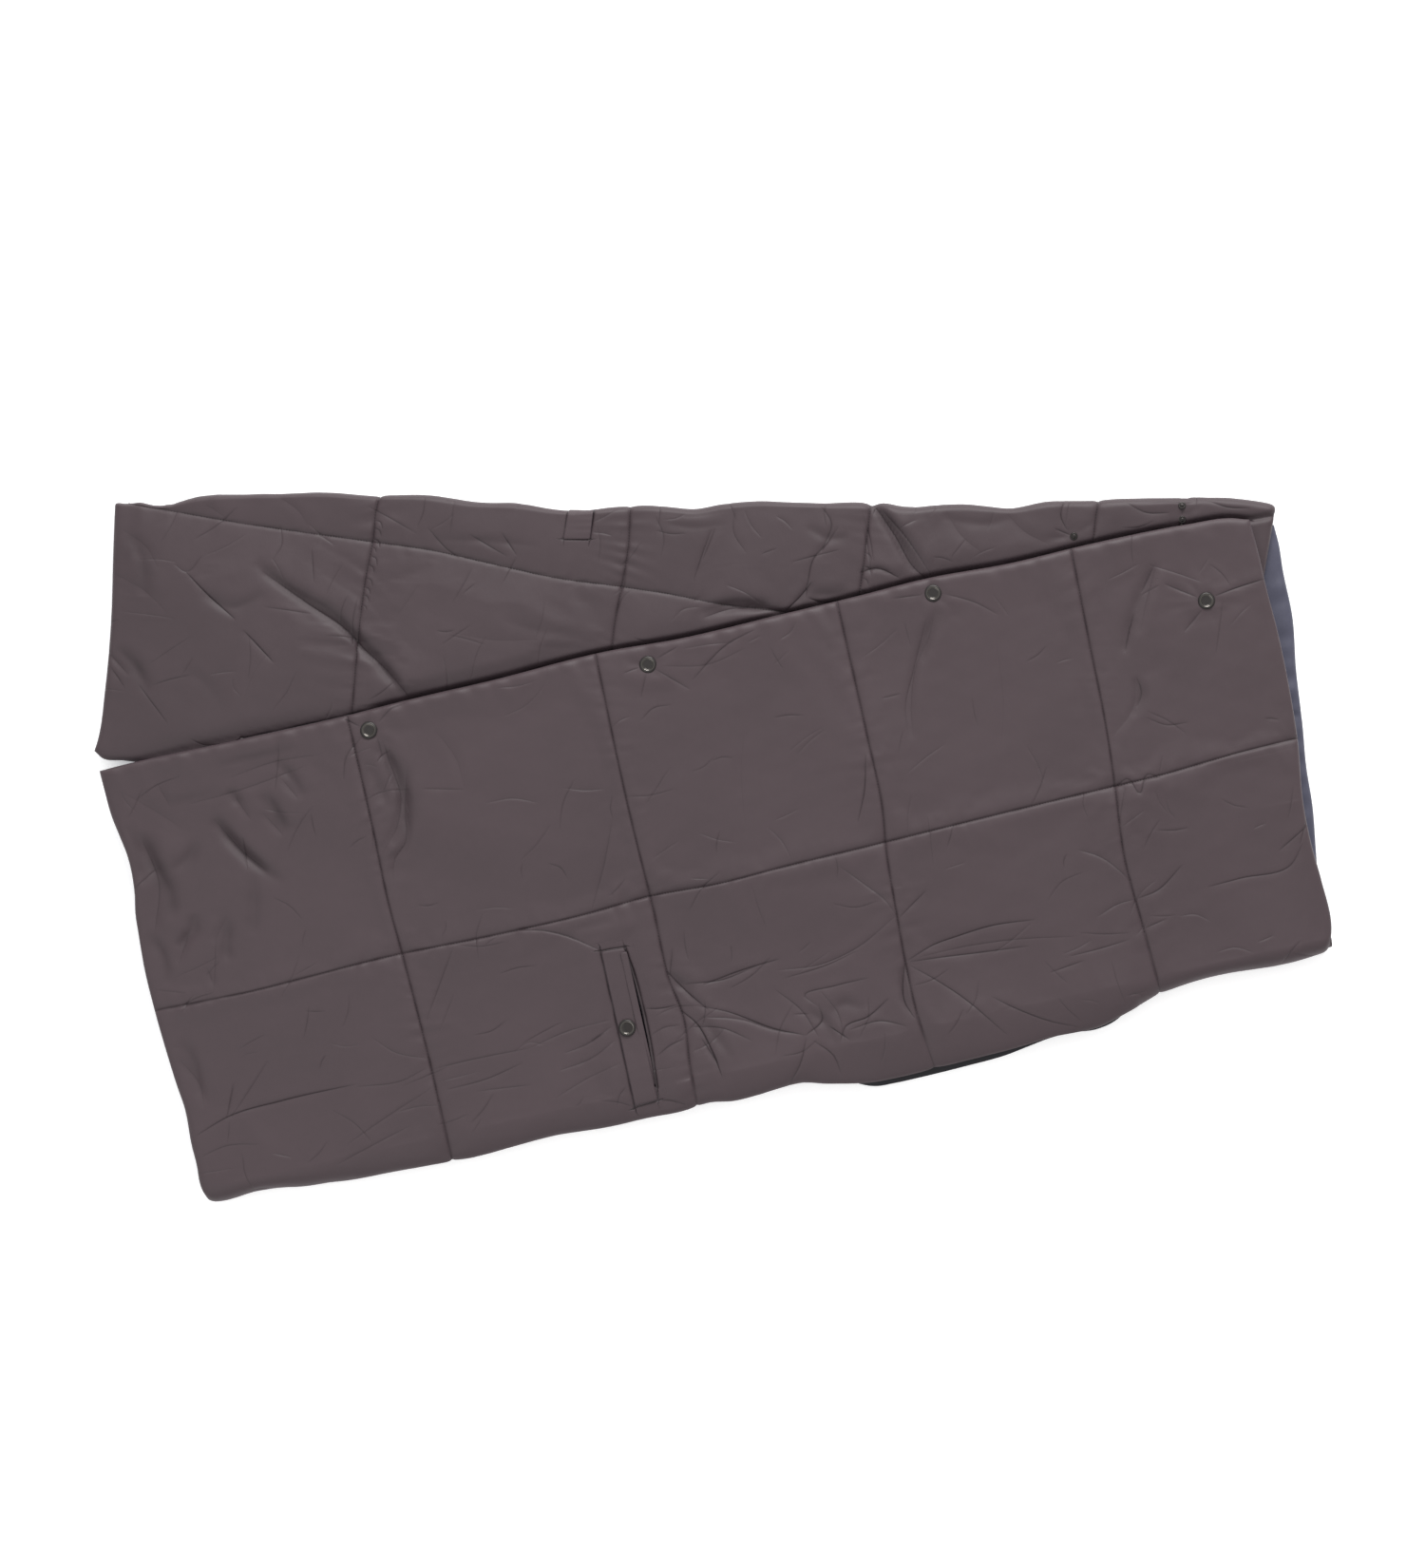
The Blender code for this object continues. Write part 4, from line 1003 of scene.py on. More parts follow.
    # The slot fills the third span of both the columns and the rows.
    hole = [(int(np.argmax(which == 2)) - 1, int(np.nonzero(which == 2)[0][-1])) for which in (u_which, v_which)]
    # Seams and the lines round the slot: grooves and painted shade in the shader.
    seams = [(path, 0.9) for path in FRONT_SEAMS] + SLOT_SHADE_LINES
    layers = line_layers(plan, FRONT_CREASES + FRONT_SMALL, seams) + [painted_hollow_shade_layer(plan, FRONT_HOLLOWS)]
    obj = build_quilt("front_flap_quilt", outer, inner, finishes, layers, hole)
    return obj, outer[:, : flat_rows + roll_rows // 2]


def inner_quilt(finishes):
    """The inner flap with the roll of cloth at the rear fold."""
    lines = [smooth_path(points) for points in (INNER_HEAD, *INNER_COLUMNS, INNER_FOOT)]
    free, rear = smooth_path(INNER_FREE), smooth_path(REAR_FOLD)
    fold_way = np.subtract(INNER_FOOT[-1], INNER_HEAD[-1])
    fold_way = fold_way / np.hypot(*fold_way)
    inward = np.array((fold_way[1], -fold_way[0]))

    # Coarse rows under the front flap, fine ones where the flap shows.
    total, shown = 0.72, 0.50
    levels = [0.0, *LEAD]
    while levels[-1] < total:
        step = INNER_ROW_STEP if levels[-1] > total - shown else 0.011
        levels.append(min(levels[-1] + step, total))
    v = np.array(levels) / total
    if len(v) % 2 == 0:
        v = np.concatenate([v[:1], [v[1] / 2], v[1:]])
    u_which, u_part = spans(np.diff([float(line[0][0]) for line in lines]), INNER_STEP)
    tracks = [at_arc(line, v * arc(line)[-1]) for line in lines]
    nu, nv = len(u_which), len(v)
    free_at, rear_at = (
        [arc(line)[np.argmin(np.hypot(*(line - track[end]).T))] for track in tracks]
        for line, end in ((free, 0), (rear, -1))
    )
    grid = np.zeros((nu, nv, 2))
    for k, (w, s) in enumerate(zip(u_which, u_part)):
        base = (1 - s) * tracks[w] + s * tracks[w + 1]
        shift_free = at_arc(free, (1 - s) * free_at[w] + s * free_at[w + 1]) - base[0]
        shift_rear = at_arc(rear, (1 - s) * rear_at[w] + s * rear_at[w + 1]) - base[-1]
        grid[k] = base + (1 - v)[:, None] * shift_free + v[:, None] * shift_rear

    # The last stretch before the rear fold becomes the roll.
    keep = int(np.argmin(np.abs(v - (1 - 0.020 / total))))
    keep += keep % 2
    flat, rim = grid[:, : keep + 1], grid[:, -1]
    start = flat[:, -1]
    roll_rows = 24
    angle = np.minimum(math.pi * np.arange(1, roll_rows + 1) / (roll_rows - 2), math.pi)
    reach = np.einsum("ij,ij->i", rim - start, np.broadcast_to(-inward, rim.shape))
    side = (rim - start) - reach[:, None] * (-inward)
    roll = np.zeros((nu, roll_rows, 2))
    for k, a in enumerate(angle):
        roll[:, k] = start + (-inward) * (reach * math.sin(a))[:, None] + side * math.sin(a)
    roll[:, -2] = start + inward * 0.004
    roll[:, -1] = start + inward * 0.008
    plan = np.concatenate([flat, roll], axis=1)
    shape = plan.shape[:2]
    points = plan.reshape(-1, 2)
    z = inner_height(points).reshape(shape)
    outer = np.concatenate([plan, (INNER_TOP + z)[..., None]], axis=-1)
    inner = np.concatenate([plan, np.full((*shape, 1), INNER_LOW)], axis=-1)
    first = flat.shape[1]
    extra = puffed(outer[:, :first], INNER_SEAMS, STUDS, REAR_WELT_BOX)
    covered = ramp(curve_at(FREE_EDGE, outer[:, :first, 0]) - outer[:, :first, 1], -0.030, -0.004)[..., None]
    outer[:, :first] += extra * (1 - covered)

    wave = 0.0012 * line_noise(plan[:, 0, 0], 177, 0.18)
    top_rise, roll_low = 0.0040, 0.0118
    pulled = np.maximum(reach - 0.011, 0.004)
    for j, a in enumerate(angle, first):
        bump = z[:, j] - top_rise
        outer[:, j, 2] = half_round(INNER_TOP + top_rise, GROUND, a) + bump * max(0.0, math.cos(a))
        outer[:, j, :2] -= inward * ((bump * 0.8 + wave) * math.sin(a) * (1 if a < 2.4 else 0.4))[:, None]
        inner[:, j, 2] = half_round(INNER_LOW, roll_low, a)
        inner[:, j, :2] = start - inward * (pulled * math.sin(a))[:, None] + side * math.sin(a)
    outer[:, -2, 2] = GROUND
    inner[:, -2, 2] = roll_low
    inner[:, -2:, :2] = plan[:, -2:]
    outer[:, -1, 2] = inner[:, -1, 2] = 0.006

    edge = np.full(len(points), 1.0)
    for line in (lines[0], lines[-1], free):
        longer = np.concatenate([line[:1] * 2 - line[5:6], line, line[-1:] * 2 - line[-6:-5]])
        chosen, signed, _, _ = near(points, longer, 0.03)
        edge[chosen] = np.minimum(edge[chosen], np.abs(signed))
    edge = edge.reshape(shape)
    edge[[0, -1]] = 0
    edge[:, 0] = 0
    outer, inner = rounded(outer, inner, edge, 0.009)
    outer[:, -1] = inner[:, -1]
    # Seams, and lines along the front flap's free edge, round the rear welt and along the rear fold: grooves and
    # painted shade in the shader.
    seams = [(path, 0.9) for path in INNER_SEAMS]
    seams.append(([(px, py + 0.0012) for px, py in FREE_EDGE if 0.0 < px < 1.79], 1.5))
    seams += [*REAR_WELT_SHADE_LINES, (REAR_FOLD, 0.6)]
    layers = line_layers(points, INNER_CREASES + INNER_SMALL, seams) + [painted_hollow_shade_layer(points, INNER_HOLLOWS)]
    obj = build_quilt("inner_flap_quilt", outer, inner, finishes, layers)
    return obj, outer[:, : first + roll_rows // 2]


def back_quilt(shell_finish, lining_finish):
    """The back panel: lining up, shell down."""
    breaks = np.array([0.05, 0.385, 0.767, 1.130, 1.487, 1.775])
    which, part = spans(np.diff(breaks), BACK_STEP)
    v = graded(1.0, BACK_STEP / 0.85)
    base = (breaks[which] + (breaks[which + 1] - breaks[which]) * part)[:, None]
    share = (base - breaks[0]) / (breaks[-1] - breaks[0])
    near_y = 0.020
    slope = (0.677 - 1.067) / (1.821 - 0.106)

    def rows(x):
        return near_y + (1.067 + (x - 0.106) * slope - 0.030 - near_y) * v

    y = rows(base)
    head = 0.018 + 0.0844 * y
    foot = np.where(y < 0.69, curve_at(BACK_FOOT, np.minimum(y, 0.69)), 1.80)
    gx = head + (foot - head) * share
    gy = rows(gx[:, -1:])
    points = np.stack([gx.ravel(), gy.ravel()], axis=1)
    bottom = 0.0006 + 0.0002 * (1 + waves(points, 33, 0.20).reshape(gx.shape))
    shell = np.stack([gx, gy, bottom], axis=-1)
    lining = np.stack([gx, gy, BACK_TOP + back_height(points).reshape(gx.shape)], axis=-1)
    across = np.minimum(gx - gx[:1], gx[-1:] - gx)
    along = np.minimum(gy - gy[:, :1], gy[:, -1:] - gy) + 0.004
    lining, shell = rounded(lining, shell, np.minimum(across, along), 0.011)
    for side in (0, -1):
        shell[:, side] = lining[:, side] = (lining[:, side] + shell[:, side]) / 2
    return build_quilt("back_quilt", lining, shell, [lining_finish, shell_finish, shell_finish])


# --------------------------------------------------------------------------------------- small pieces


class Surface:
    """Reads the height and slope of a quilt's outer face at plan places."""

    def __init__(self, grid):
        self.points = grid.reshape(-1, 3)
        self.tree = KDTree(len(self.points))
        for k, p in enumerate(self.points):
            self.tree.insert((p[0], p[1], 0.0), k)
        self.tree.balance()

    def height(self, x, y):
        total = weight = 0.0
        for _, k, d in self.tree.find_n((x, y, 0.0), 5):
            w = 1.0 / (d * d + 1e-7)
            total += w * self.points[k][2]
            weight += w
        return total / weight

    def normal(self, x, y, reach=0.012):
        dx = self.height(x + reach, y) - self.height(x - reach, y)
        dy = self.height(x, y + reach) - self.height(x, y - reach)
        return Vector((-dx / (2 * reach), -dy / (2 * reach), 1.0)).normalized()


class Level:
    """A flat place for a strip to lie on."""

    def __init__(self, z):
        self.z = z

    def height(self, *_):
        return self.z


def dress(piece, slot, body, *replaced):
    """Attaches a piece to its body and hides the CAD nodes that it stands for. slot is not used."""
    if replaced:
        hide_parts(*replaced)
    if body:
        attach(piece, body)
    return piece


def strip(name, surface, corners, lift, thick, finish, across=14, along=70, curl=0.0016, corner=0.003):
    """A flat strip that lies on a surface: corners run from its stitched side's start, and round."""
    a, b, c, d = (np.array(p, float) for p in corners)
    u = np.concatenate([[0, 0.02, 0.05], np.linspace(0.09, 0.91, across - 6), [0.95, 0.98, 1.0]])
    v = np.concatenate([[0, 0.004, 0.010], np.linspace(0.02, 0.98, along - 6), [0.990, 0.996, 1.0]])
    nu, nv = len(u), len(v)
    top, bottom = np.zeros((2, nu, nv, 3))
    width = np.hypot(*(d - a))
    length = np.hypot(*(b - a))
    for i, s in enumerate(u):
        for j, t in enumerate(v):
            off = np.array((min(s, 1 - s) * width, min(t, 1 - t) * length))
            inside = np.clip(1 - off / corner, 0, 1)
            squeeze = inside.max() / max(np.hypot(*inside), 1e-9) if inside.min() > 0 else 1.0
            moved = (inside - inside * squeeze) * corner
            s_in = s + math.copysign(moved[0] / width, 0.5 - s)
            t_in = t + math.copysign(moved[1] / length, 0.5 - t)
            p = (1 - s_in) * ((1 - t_in) * a + t_in * b) + s_in * ((1 - t_in) * d + t_in * c)
            rim = min(s * width, (1 - s) * width, t * length, (1 - t) * length)
            roll = thick * math.sqrt(max(0.0, 1 - (1 - min(rim / 0.0028, 1)) ** 2))
            ripple = 0.0003 * math.sin(9 * t * math.pi + 2) * s
            raised = lift + curl * s * s * math.sin(math.pi * min(max(t, 0), 1)) ** 0.4 + ripple
            level = surface.height(*p) + raised + roll
            top[i, j] = (*p, level)
            bottom[i, j] = (*p, level - 1.35 * roll)
    inside = np.s_[1:-1, 1:-1]
    o = np.arange(nu * nv).reshape(nu, nv)
    faces = cells(o).reshape(-1, 4).tolist()
    faces += cells(far_face(o, inside))[..., [0, 3, 2, 1]].reshape(-1, 4).tolist()
    points = np.concatenate([top.reshape(-1, 3), bottom[inside].reshape(-1, 3)])
    mesh = make_mesh(name, points, faces, [finish])
    clean(mesh)
    return add_object(name, mesh)


def cloth_plate(name, cad_node, finish, body):
    """A thin piece of cloth, of the size of its CAD solid, with soft edges."""
    low, high = (np.array(corner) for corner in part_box(cad_node))
    low[:2] += MIDDLE
    high[:2] += MIDDLE
    corners = [(low[0], low[1]), (low[0], high[1]), (high[0], high[1]), (high[0], low[1])]
    tall = high[2] - low[2]
    plate = strip(name, Level(low[2] + 0.30 * tall), corners, 0, 0.65 * tall, finish, 24, 36, 0.0, 0.004)
    dress(plate, "trim_fabric", body, cad_node)


def underlap(finish):
    """The rolled edge of lining that shows from under the front fold."""
    edge = smooth_path(UNDERLAP)
    uneven = waves(edge, 61, 0.05)
    inmost = -0.002
    # (share of the way out, height)
    section = [
        (0.0, 0.0030), (0.35, 0.0042), (0.75, 0.0044), (0.95, 0.0034), (1.0, 0.0022), (0.95, 0.0010),
        (0.70, GROUND), (0.0, GROUND),
    ]
    rows = []
    for k, (x, y) in enumerate(edge):
        full = min(1.0, min(k, len(edge) - 1 - k) / 6) ** 0.5 * (1 + 0.10 * uneven[k])
        rows.append([(x, inmost + (y - inmost) * share, GROUND + (z - GROUND) * full) for share, z in section])
    grid = np.array(rows)
    o = np.arange(grid[..., 0].size).reshape(grid.shape[:2])
    faces = cells(np.concatenate([o, o[:, :1]], axis=1)).reshape(-1, 4).tolist()
    faces += [o[0].tolist(), o[-1][::-1].tolist()]
    mesh = make_mesh("underlap", grid.reshape(-1, 3), faces, [finish])
    clean(mesh)
    return add_object("lining_underlap", mesh)


def turned(name, profile, materials, wide=1.0, steps=56):
    """A turned piece about Z, from (radius, height, material) points in millimetres, top first."""
    points, faces, slots, rings = [], [], [], []
    profile = [(wide * radius * 0.001, height * 0.001, slot) for radius, height, slot in reversed(profile)]
    for radius, height, _ in profile:
        count = steps if radius else 1
        rings.append(range(len(points), len(points) + count))
        turns = [2 * math.pi * k / steps for k in range(count)]
        points += [(radius * math.cos(a), radius * math.sin(a), height) for a in turns]
    for a, b, (_, _, slot) in zip(rings, rings[1:], profile):
        for k in range(steps):
            m = (k + 1) % steps
            corners = [a[k % len(a)], b[k % len(b)], b[m % len(b)], a[m % len(a)]]
            faces.append(list(dict.fromkeys(corners)))
            slots.append(slot)
    mesh = make_mesh(name, points, faces, materials, slots, (0.0, 0.0, 0.0))
    mesh.set_sharp_from_angle(angle=math.radians(50))
    return mesh


def place_on(name, mesh, surface, place, lift, tilt=0.6):
    """Stands a turned piece on a quilt, leaning with its slope."""
    obj = add_object(name, mesh)
    normal = (surface.normal(*place) * tilt + Vector((0, 0, 1)) * (1 - tilt)).normalized()
    obj.rotation_mode = "QUATERNION"
    obj.rotation_quaternion = Vector((0, 0, 1)).rotation_difference(normal)
    obj.location = (*(place - MIDDLE), surface.height(*place) + lift)
    return obj


# A ring snap cap, with a rolled ring and a sunk dark face, and a stud with its washer.
CAP_PROFILE = [
    (0, 1.15, 1), (2.0, 1.10, 1), (5.6, 1.00, 1), (6.3, 1.10, 1), (6.7, 1.45, 0), (7.1, 2.10, 0),
    (7.7, 2.60, 0), (8.6, 2.85, 0), (9.4, 2.70, 1), (10.3, 2.15, 1), (10.8, 1.35, 1),
    (11.0, 0.50, 1), (10.9, -0.40, 1), (10.0, -1.50, 1), (0, -1.60, 1),
]
STUD_PROFILE = [
    (0, 3.30, 0), (1.6, 3.25, 0), (2.5, 2.95, 0), (2.9, 2.40, 0), (2.7, 1.70, 0), (2.4, 1.20, 0),
    (2.6, 0.95, 1), (3.4, 0.85, 1), (4.4, 1.15, 0), (5.3, 1.10, 0), (5.8, 0.60, 0), (5.8, -0.20, 0),
    (5.2, -0.90, 0), (0, -0.90, 0),
]


def stitches(name, surface, lines, finish, pitch=0.0042, sink=0.0002):
    """Thread along seams, one short raised stitch after another."""
    points, faces = [], []
    stitch = np.array([
        (0, 1, 2), (0, 2, 3), (0, 3, 5), (0, 5, 1), (4, 2, 1), (4, 3, 2), (4, 5, 3), (4, 1, 5),
    ])
    for path in lines:
        line = [np.array((*p, surface.height(*p) + sink)) for p in smooth_path(path, pitch)]
        for p, q in zip(line[:-1], line[1:]):
            p, q = p + (q - p) * 0.14, p + (q - p) * 0.86
            along = (q - p) / np.linalg.norm(q - p)
            side = np.cross(along, (0, 0, 1))
            side = side / np.linalg.norm(side) * 0.00042
            up = np.array((0, 0, 0.00035))
            middle = (p + q) / 2 + up * 1.2
            faces += (stitch + len(points)).tolist()
            points += [p, middle - side, middle + up * 0.5, middle + side, q, middle - up * 2.2]
    return add_object(name, make_mesh(name, points, faces, [finish]))


# ------------------------------------------------------------------------------------------ materials


def new_material(name):
    made = bpy.data.materials.new(name)
    made.use_nodes = True
    tree = made.node_tree
    return made, tree, tree.nodes["Principled BSDF"]


def feed(tree, node, inputs):
    """Sets a node's inputs, each to a value or to another node's output."""
    for key, value in inputs.items():
        if isinstance(value, bpy.types.NodeSocket):
            tree.links.new(value, node.inputs[key])
        else:
            node.inputs[key].default_value = value


def add(tree, kind, inputs, **settings):
    """A new shader node."""
    made = tree.nodes.new("ShaderNode" + kind)
    for key, value in settings.items():
        setattr(made, key, value)
    feed(tree, made, inputs)
    return made


def mapped(tree, scale, turn):
    """The piece's own coordinates, stretched and turned about Z."""
    where = add(tree, "TexCoord", {}).outputs["Object"]
    made = add(tree, "Mapping", {"Scale": scale, "Rotation": (0, 0, turn), "Vector": where})
    return made.outputs["Vector"]


def noise(tree, scale, detail, roughness, stretch=(1, 1, 1), turn=0.0):
    inputs = {"Scale": scale, "Detail": detail, "Roughness": roughness, "Vector": mapped(tree, stretch, turn)}
    return add(tree, "TexNoise", inputs).outputs["Fac"]


def colour_ramp(tree, fac, *stops):
    """Colours at their places from 0 to 1."""
    made = add(tree, "ValToRGB", {"Fac": fac})
    elements = made.color_ramp.elements
    for _ in stops[2:]:
        elements.new(0.5)
    for element, (place, colour) in zip(elements, stops):
        element.position = place
        element.color = (*colour, 1)
    return made.outputs["Color"]


def bump(tree, strength, distance, height, normal=None):
    inputs = {"Strength": strength, "Distance": distance, "Height": height}
    if normal is not None:
        inputs["Normal"] = normal
    return add(tree, "Bump", inputs).outputs["Normal"]


def calc(tree, operation, a, b=None):
    """One arithmetic node over sockets or numbers."""
    inputs = {0: a} if b is None else {0: a, 1: b}
    return add(tree, "Math", inputs, operation=operation).outputs[0]


def line_relief(tree):
    """Height in millimetres of the seams and creases, and their painted shade with that of the broad hollows, from the
    quilt's line layers.
    """

    do = partial(calc, tree)

    def layer_parts(number):
        source = add(tree, "Attribute", {}, attribute_name=f"line_{number}").outputs["Vector"]
        return add(tree, "SeparateXYZ", {"Vector": source}).outputs

    height = dark = None
    for number in range(LINE_LAYERS):
        distance, strength, lean = layer_parts(number)
        away = do("ABSOLUTE", distance)
        wide = do("POWER", do("DIVIDE", away, 1.9), 1.4)
        valley = do("EXPONENT", do("MULTIPLY", wide, -1.0))
        thin = do("POWER", do("DIVIDE", away, 1.0), 2.0)
        line = do("EXPONENT", do("MULTIPLY", thin, -1.0))
        side = do("DIVIDE", do("MAXIMUM", distance, 0.0), 2.2)
        bulge = do("MULTIPLY", side, do("EXPONENT", do("MULTIPLY", side, -1.0)))
        ridge = do("MULTIPLY", do("MULTIPLY", bulge, lean), 2.4)
        profile = do("SUBTRACT", ridge, do("MULTIPLY", valley, 1.1))
        layer = do("MULTIPLY", profile, strength)
        shade = do("MULTIPLY", line, strength)
        height = layer if height is None else do("ADD", height, layer)
        dark = shade if dark is None else do("ADD", dark, shade)
    # Painted shade: dark lines along the seams and creases, plus half of the painted shade in the hollows.
    hollow = layer_parts(LINE_LAYERS)[0]
    return height, do("ADD", dark, do("MULTIPLY", hollow, 0.5))


def cloth_material(name, colours, roughness, sheen, sheen_tint, turn, crinkle, lined=False):
    """Fine woven nylon: thread weave, small crinkles and a little unevenness of colour.

    colours are the middle, dark and light ones. A lined cloth also shows the quilt's line layers, as bumps and as
    painted shade along seams and creases and in hollows.
    """
    colour, dark, light = colours
    made, tree, shader = new_material(name)
    patches = noise(tree, 7.0, 4.0, 0.55, turn=turn)
    fine = noise(tree, 90.0, 3.0, 0.6, turn=turn)
    blend = add(tree, "Mix", {0: 0.25, 2: patches, 3: fine}, data_type="FLOAT").outputs[0]
    base = colour_ramp(tree, blend, (0.30, dark), (0.5, colour), (0.72, light))
    if lined:
        height, line_painted_shade = line_relief(tree)
        # Painted shade: the colour darkens towards a quarter of the dark colour along the seams, creases and hollows.
        amount = calc(tree, "MINIMUM", calc(tree, "MULTIPLY", line_painted_shade, 0.55), 0.72)
        inputs = {0: amount, "A": base, "B": (*[c * 0.25 for c in dark], 1)}
        base = add(tree, "Mix", inputs, data_type="RGBA").outputs["Result"]
    gloss = add(tree, "MapRange", {"To Min": roughness - 0.06, "To Max": roughness + 0.08, "Value": patches})
    grain = mapped(tree, (1, 1, 1), turn)
    warp, weft = (
        add(
            tree, "TexWave", {"Scale": 420.0, "Distortion": 0.4, "Vector": grain},
            wave_type="BANDS", bands_direction=way,
        ).outputs["Fac"]
        for way in ("X", "Y")
    )
    normal = bump(tree, 0.12, 0.0003, calc(tree, "MULTIPLY", warp, weft))
    small = noise(tree, 30.0, 5.0, 0.62, (1.0, 0.55, 1.0), turn + 0.5)
    normal = bump(tree, crinkle, 0.0016, small, normal)
    if lined:
        normal = bump(tree, 1.0, 0.0010, height, normal)
    feed(tree, shader, {
        "Base Color": base, "Roughness": gloss.outputs["Result"], "Normal": normal,
        "Sheen Weight": sheen, "Sheen Roughness": 0.45, "Sheen Tint": (*sheen_tint, 1),
        "Specular IOR Level": 0.35,
    })
    return made


def metal_material(name, colour, roughness, metallic=1.0):
    """Metal or hard plastic with fine scratches."""
    made, tree, shader = new_material(name)
    scratch = noise(tree, 900.0, 3.0, 0.6, (1, 1, 0.2))
    dark, light = [c * 0.82 for c in colour], [min(1, c * 1.18) for c in colour]
    gloss = add(tree, "MapRange", {"To Min": roughness * 0.8, "To Max": roughness * 1.3, "Value": scratch})
    feed(tree, shader, {
        "Base Color": colour_ramp(tree, scratch, (0.0, dark), (1.0, light)), "Metallic": metallic,
        "Roughness": gloss.outputs["Result"], "Normal": bump(tree, 0.08, 0.0002, scratch),
    })
    return made


def shades(colour, *shares):
    return [[c * share for c in colour] for share in shares]


TAUPE = (0.0480, 0.0325, 0.0370)
NAVY = (0.056, 0.056, 0.083)
TAUPE_SHEEN = (0.62, 0.52, 0.66)
# The middle, dark and light colours of the lining under the front fold: the navy lining with painted shade, near black.
SHADED_LINING_COLOURS = [(0.0085, 0.0080, 0.0110), (0.0070, 0.0066, 0.0090), (0.0100, 0.0095, 0.0130)]

shell_cloth = cloth_material(
    "taupe_nylon", shades(TAUPE, 1, 0.93, 1.07), 0.56, 0.05, TAUPE_SHEEN, 0.0, 0.35, True
)
# A copy of the taupe nylon with painted shade, about 8 % darker, to even out the stronger light that the inner flap
# gets.
shaded_inner_cloth = cloth_material(
    "shaded_inner_taupe_nylon", shades(TAUPE, 0.92, 0.86, 0.99), 0.56, 0.045, TAUPE_SHEEN, 0.0, 0.35, True
)
lining_cloth = cloth_material("navy_lining", shades(NAVY, 1, 0.90, 1.08), 0.58, 0.06, (0.55, 0.58, 0.75), 0.0, 0.6)
welt_cloth = cloth_material("welt_nylon", shades(TAUPE, 1, 0.94, 1.06), 0.56, 0.05, TAUPE_SHEEN, 0.3, 0.25)
shaded_lining_cloth = cloth_material("shaded_navy_lining", SHADED_LINING_COLOURS, 0.60, 0.02, (0.5, 0.5, 0.6), 0.0, 0.5)
thread = cloth_material("thread", shades(TAUPE, 0.55, 0.5, 0.65), 0.7, 0.03, (0.6, 0.5, 0.6), 0.0, 0.1)
plastic = metal_material("inlet_plastic", (0.020, 0.020, 0.021), 0.50, 0.0)
brass = metal_material("brass_fittings", (0.60, 0.42, 0.19), 0.30)
jacket = metal_material("lead_jacket", (0.022, 0.022, 0.023), 0.62, 0.0)
ring_metal = metal_material("gunmetal_ring", (0.105, 0.098, 0.090), 0.22)
face_metal = metal_material("dark_cap_face", (0.026, 0.023, 0.022), 0.38, 0.5)
stud_metal = metal_material("dark_stud", (0.036, 0.032, 0.031), 0.30, 0.8)

# ---------------------------------------------------------------------------------------------- build

front, front_grid = front_quilt([shell_cloth, lining_cloth, shell_cloth])
inner, inner_grid = inner_quilt([shaded_inner_cloth, lining_cloth, shaded_inner_cloth])
back = back_quilt(shell_cloth, lining_cloth)
front_surface = Surface(front_grid)
inner_surface = Surface(inner_grid)

dress(
    front, "shell_fabric", None, "front_flap_outer_shell", "front_flap_batting", "front_flap_heater_carrier",
    "front_flap_heating_wire", "front_flap_lining", "front_arm_slot_facing",
)
dress(
    inner, "shell_fabric", None, "inner_flap_outer_shell", "inner_flap_batting", "inner_flap_heater_carrier",
    "inner_flap_heating_wire", "inner_flap_lining",
)
dress(
    back, "shell_fabric", "back_panel", "back_outer_shell", "back_batting", "back_heater_carrier",
    "back_heating_wire", "back_lining", "rear_arm_slot_welt_lower", "thermal_cutout", "temperature_sensor",
    "lead_splice_1", "lead_splice_2", "lead_splice_3",
)
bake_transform(front)
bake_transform(inner)

cap = turned("snap_cap", CAP_PROFILE, [ring_metal, face_metal], wide=1.17)
for number, place in enumerate(SNAPS, 1):
    piece = place_on(f"snap_cap_{number}", cap, front_surface, place, 0.0006)
    dress(piece, "snap_metal", "front_flap", f"front_snap_cap_{number}")
welt = strip("front_slot_welt", front_surface, WELT_CORNERS, 0.0004, 0.0020, welt_cloth)
dress(welt, "trim_fabric", "arm_slot_welt", "front_arm_slot_welt")
piece = place_on("slot_snap_cap", cap, front_surface, WELT_SNAP, 0.0040, 0.0)
dress(piece, "snap_metal", "arm_slot_welt", "front_arm_slot_snap_cap")

stud = turned("snap_stud", STUD_PROFILE, [stud_metal, face_metal], steps=40)
for number, place in enumerate(STUDS, 4):
    piece = place_on(f"snap_stud_{number}", stud, inner_surface, place, 0.0004)
    dress(piece, "snap_metal", "inner_flap", f"inner_snap_stud_{number}")

rear_welt = strip("rear_slot_welt", inner_surface, REAR_WELT_CORNERS, 0.0003, 0.0018, welt_cloth, 12, 24)
dress(rear_welt, "trim_fabric", "inner_flap", "rear_arm_slot_welt_upper")
facing_level = Level(FRONT_TOP - 0.0022)
facing = strip("slot_facing_edge", facing_level, FACING_CORNERS, 0, 0.0016, welt_cloth, 12, 60, 0.0)
dress(facing, "trim_fabric", "front_flap")

# The lining under the front fold takes a near-black copy of the navy lining: painted shade.
lip = dress(underlap(shaded_lining_cloth), "lining_fabric", "back_panel")
cloth_plate("slot_snap_tab", "front_arm_slot_tab", welt_cloth, "front_flap")
cloth_plate("inlet_patch", "power_inlet_patch", welt_cloth, "back_panel")

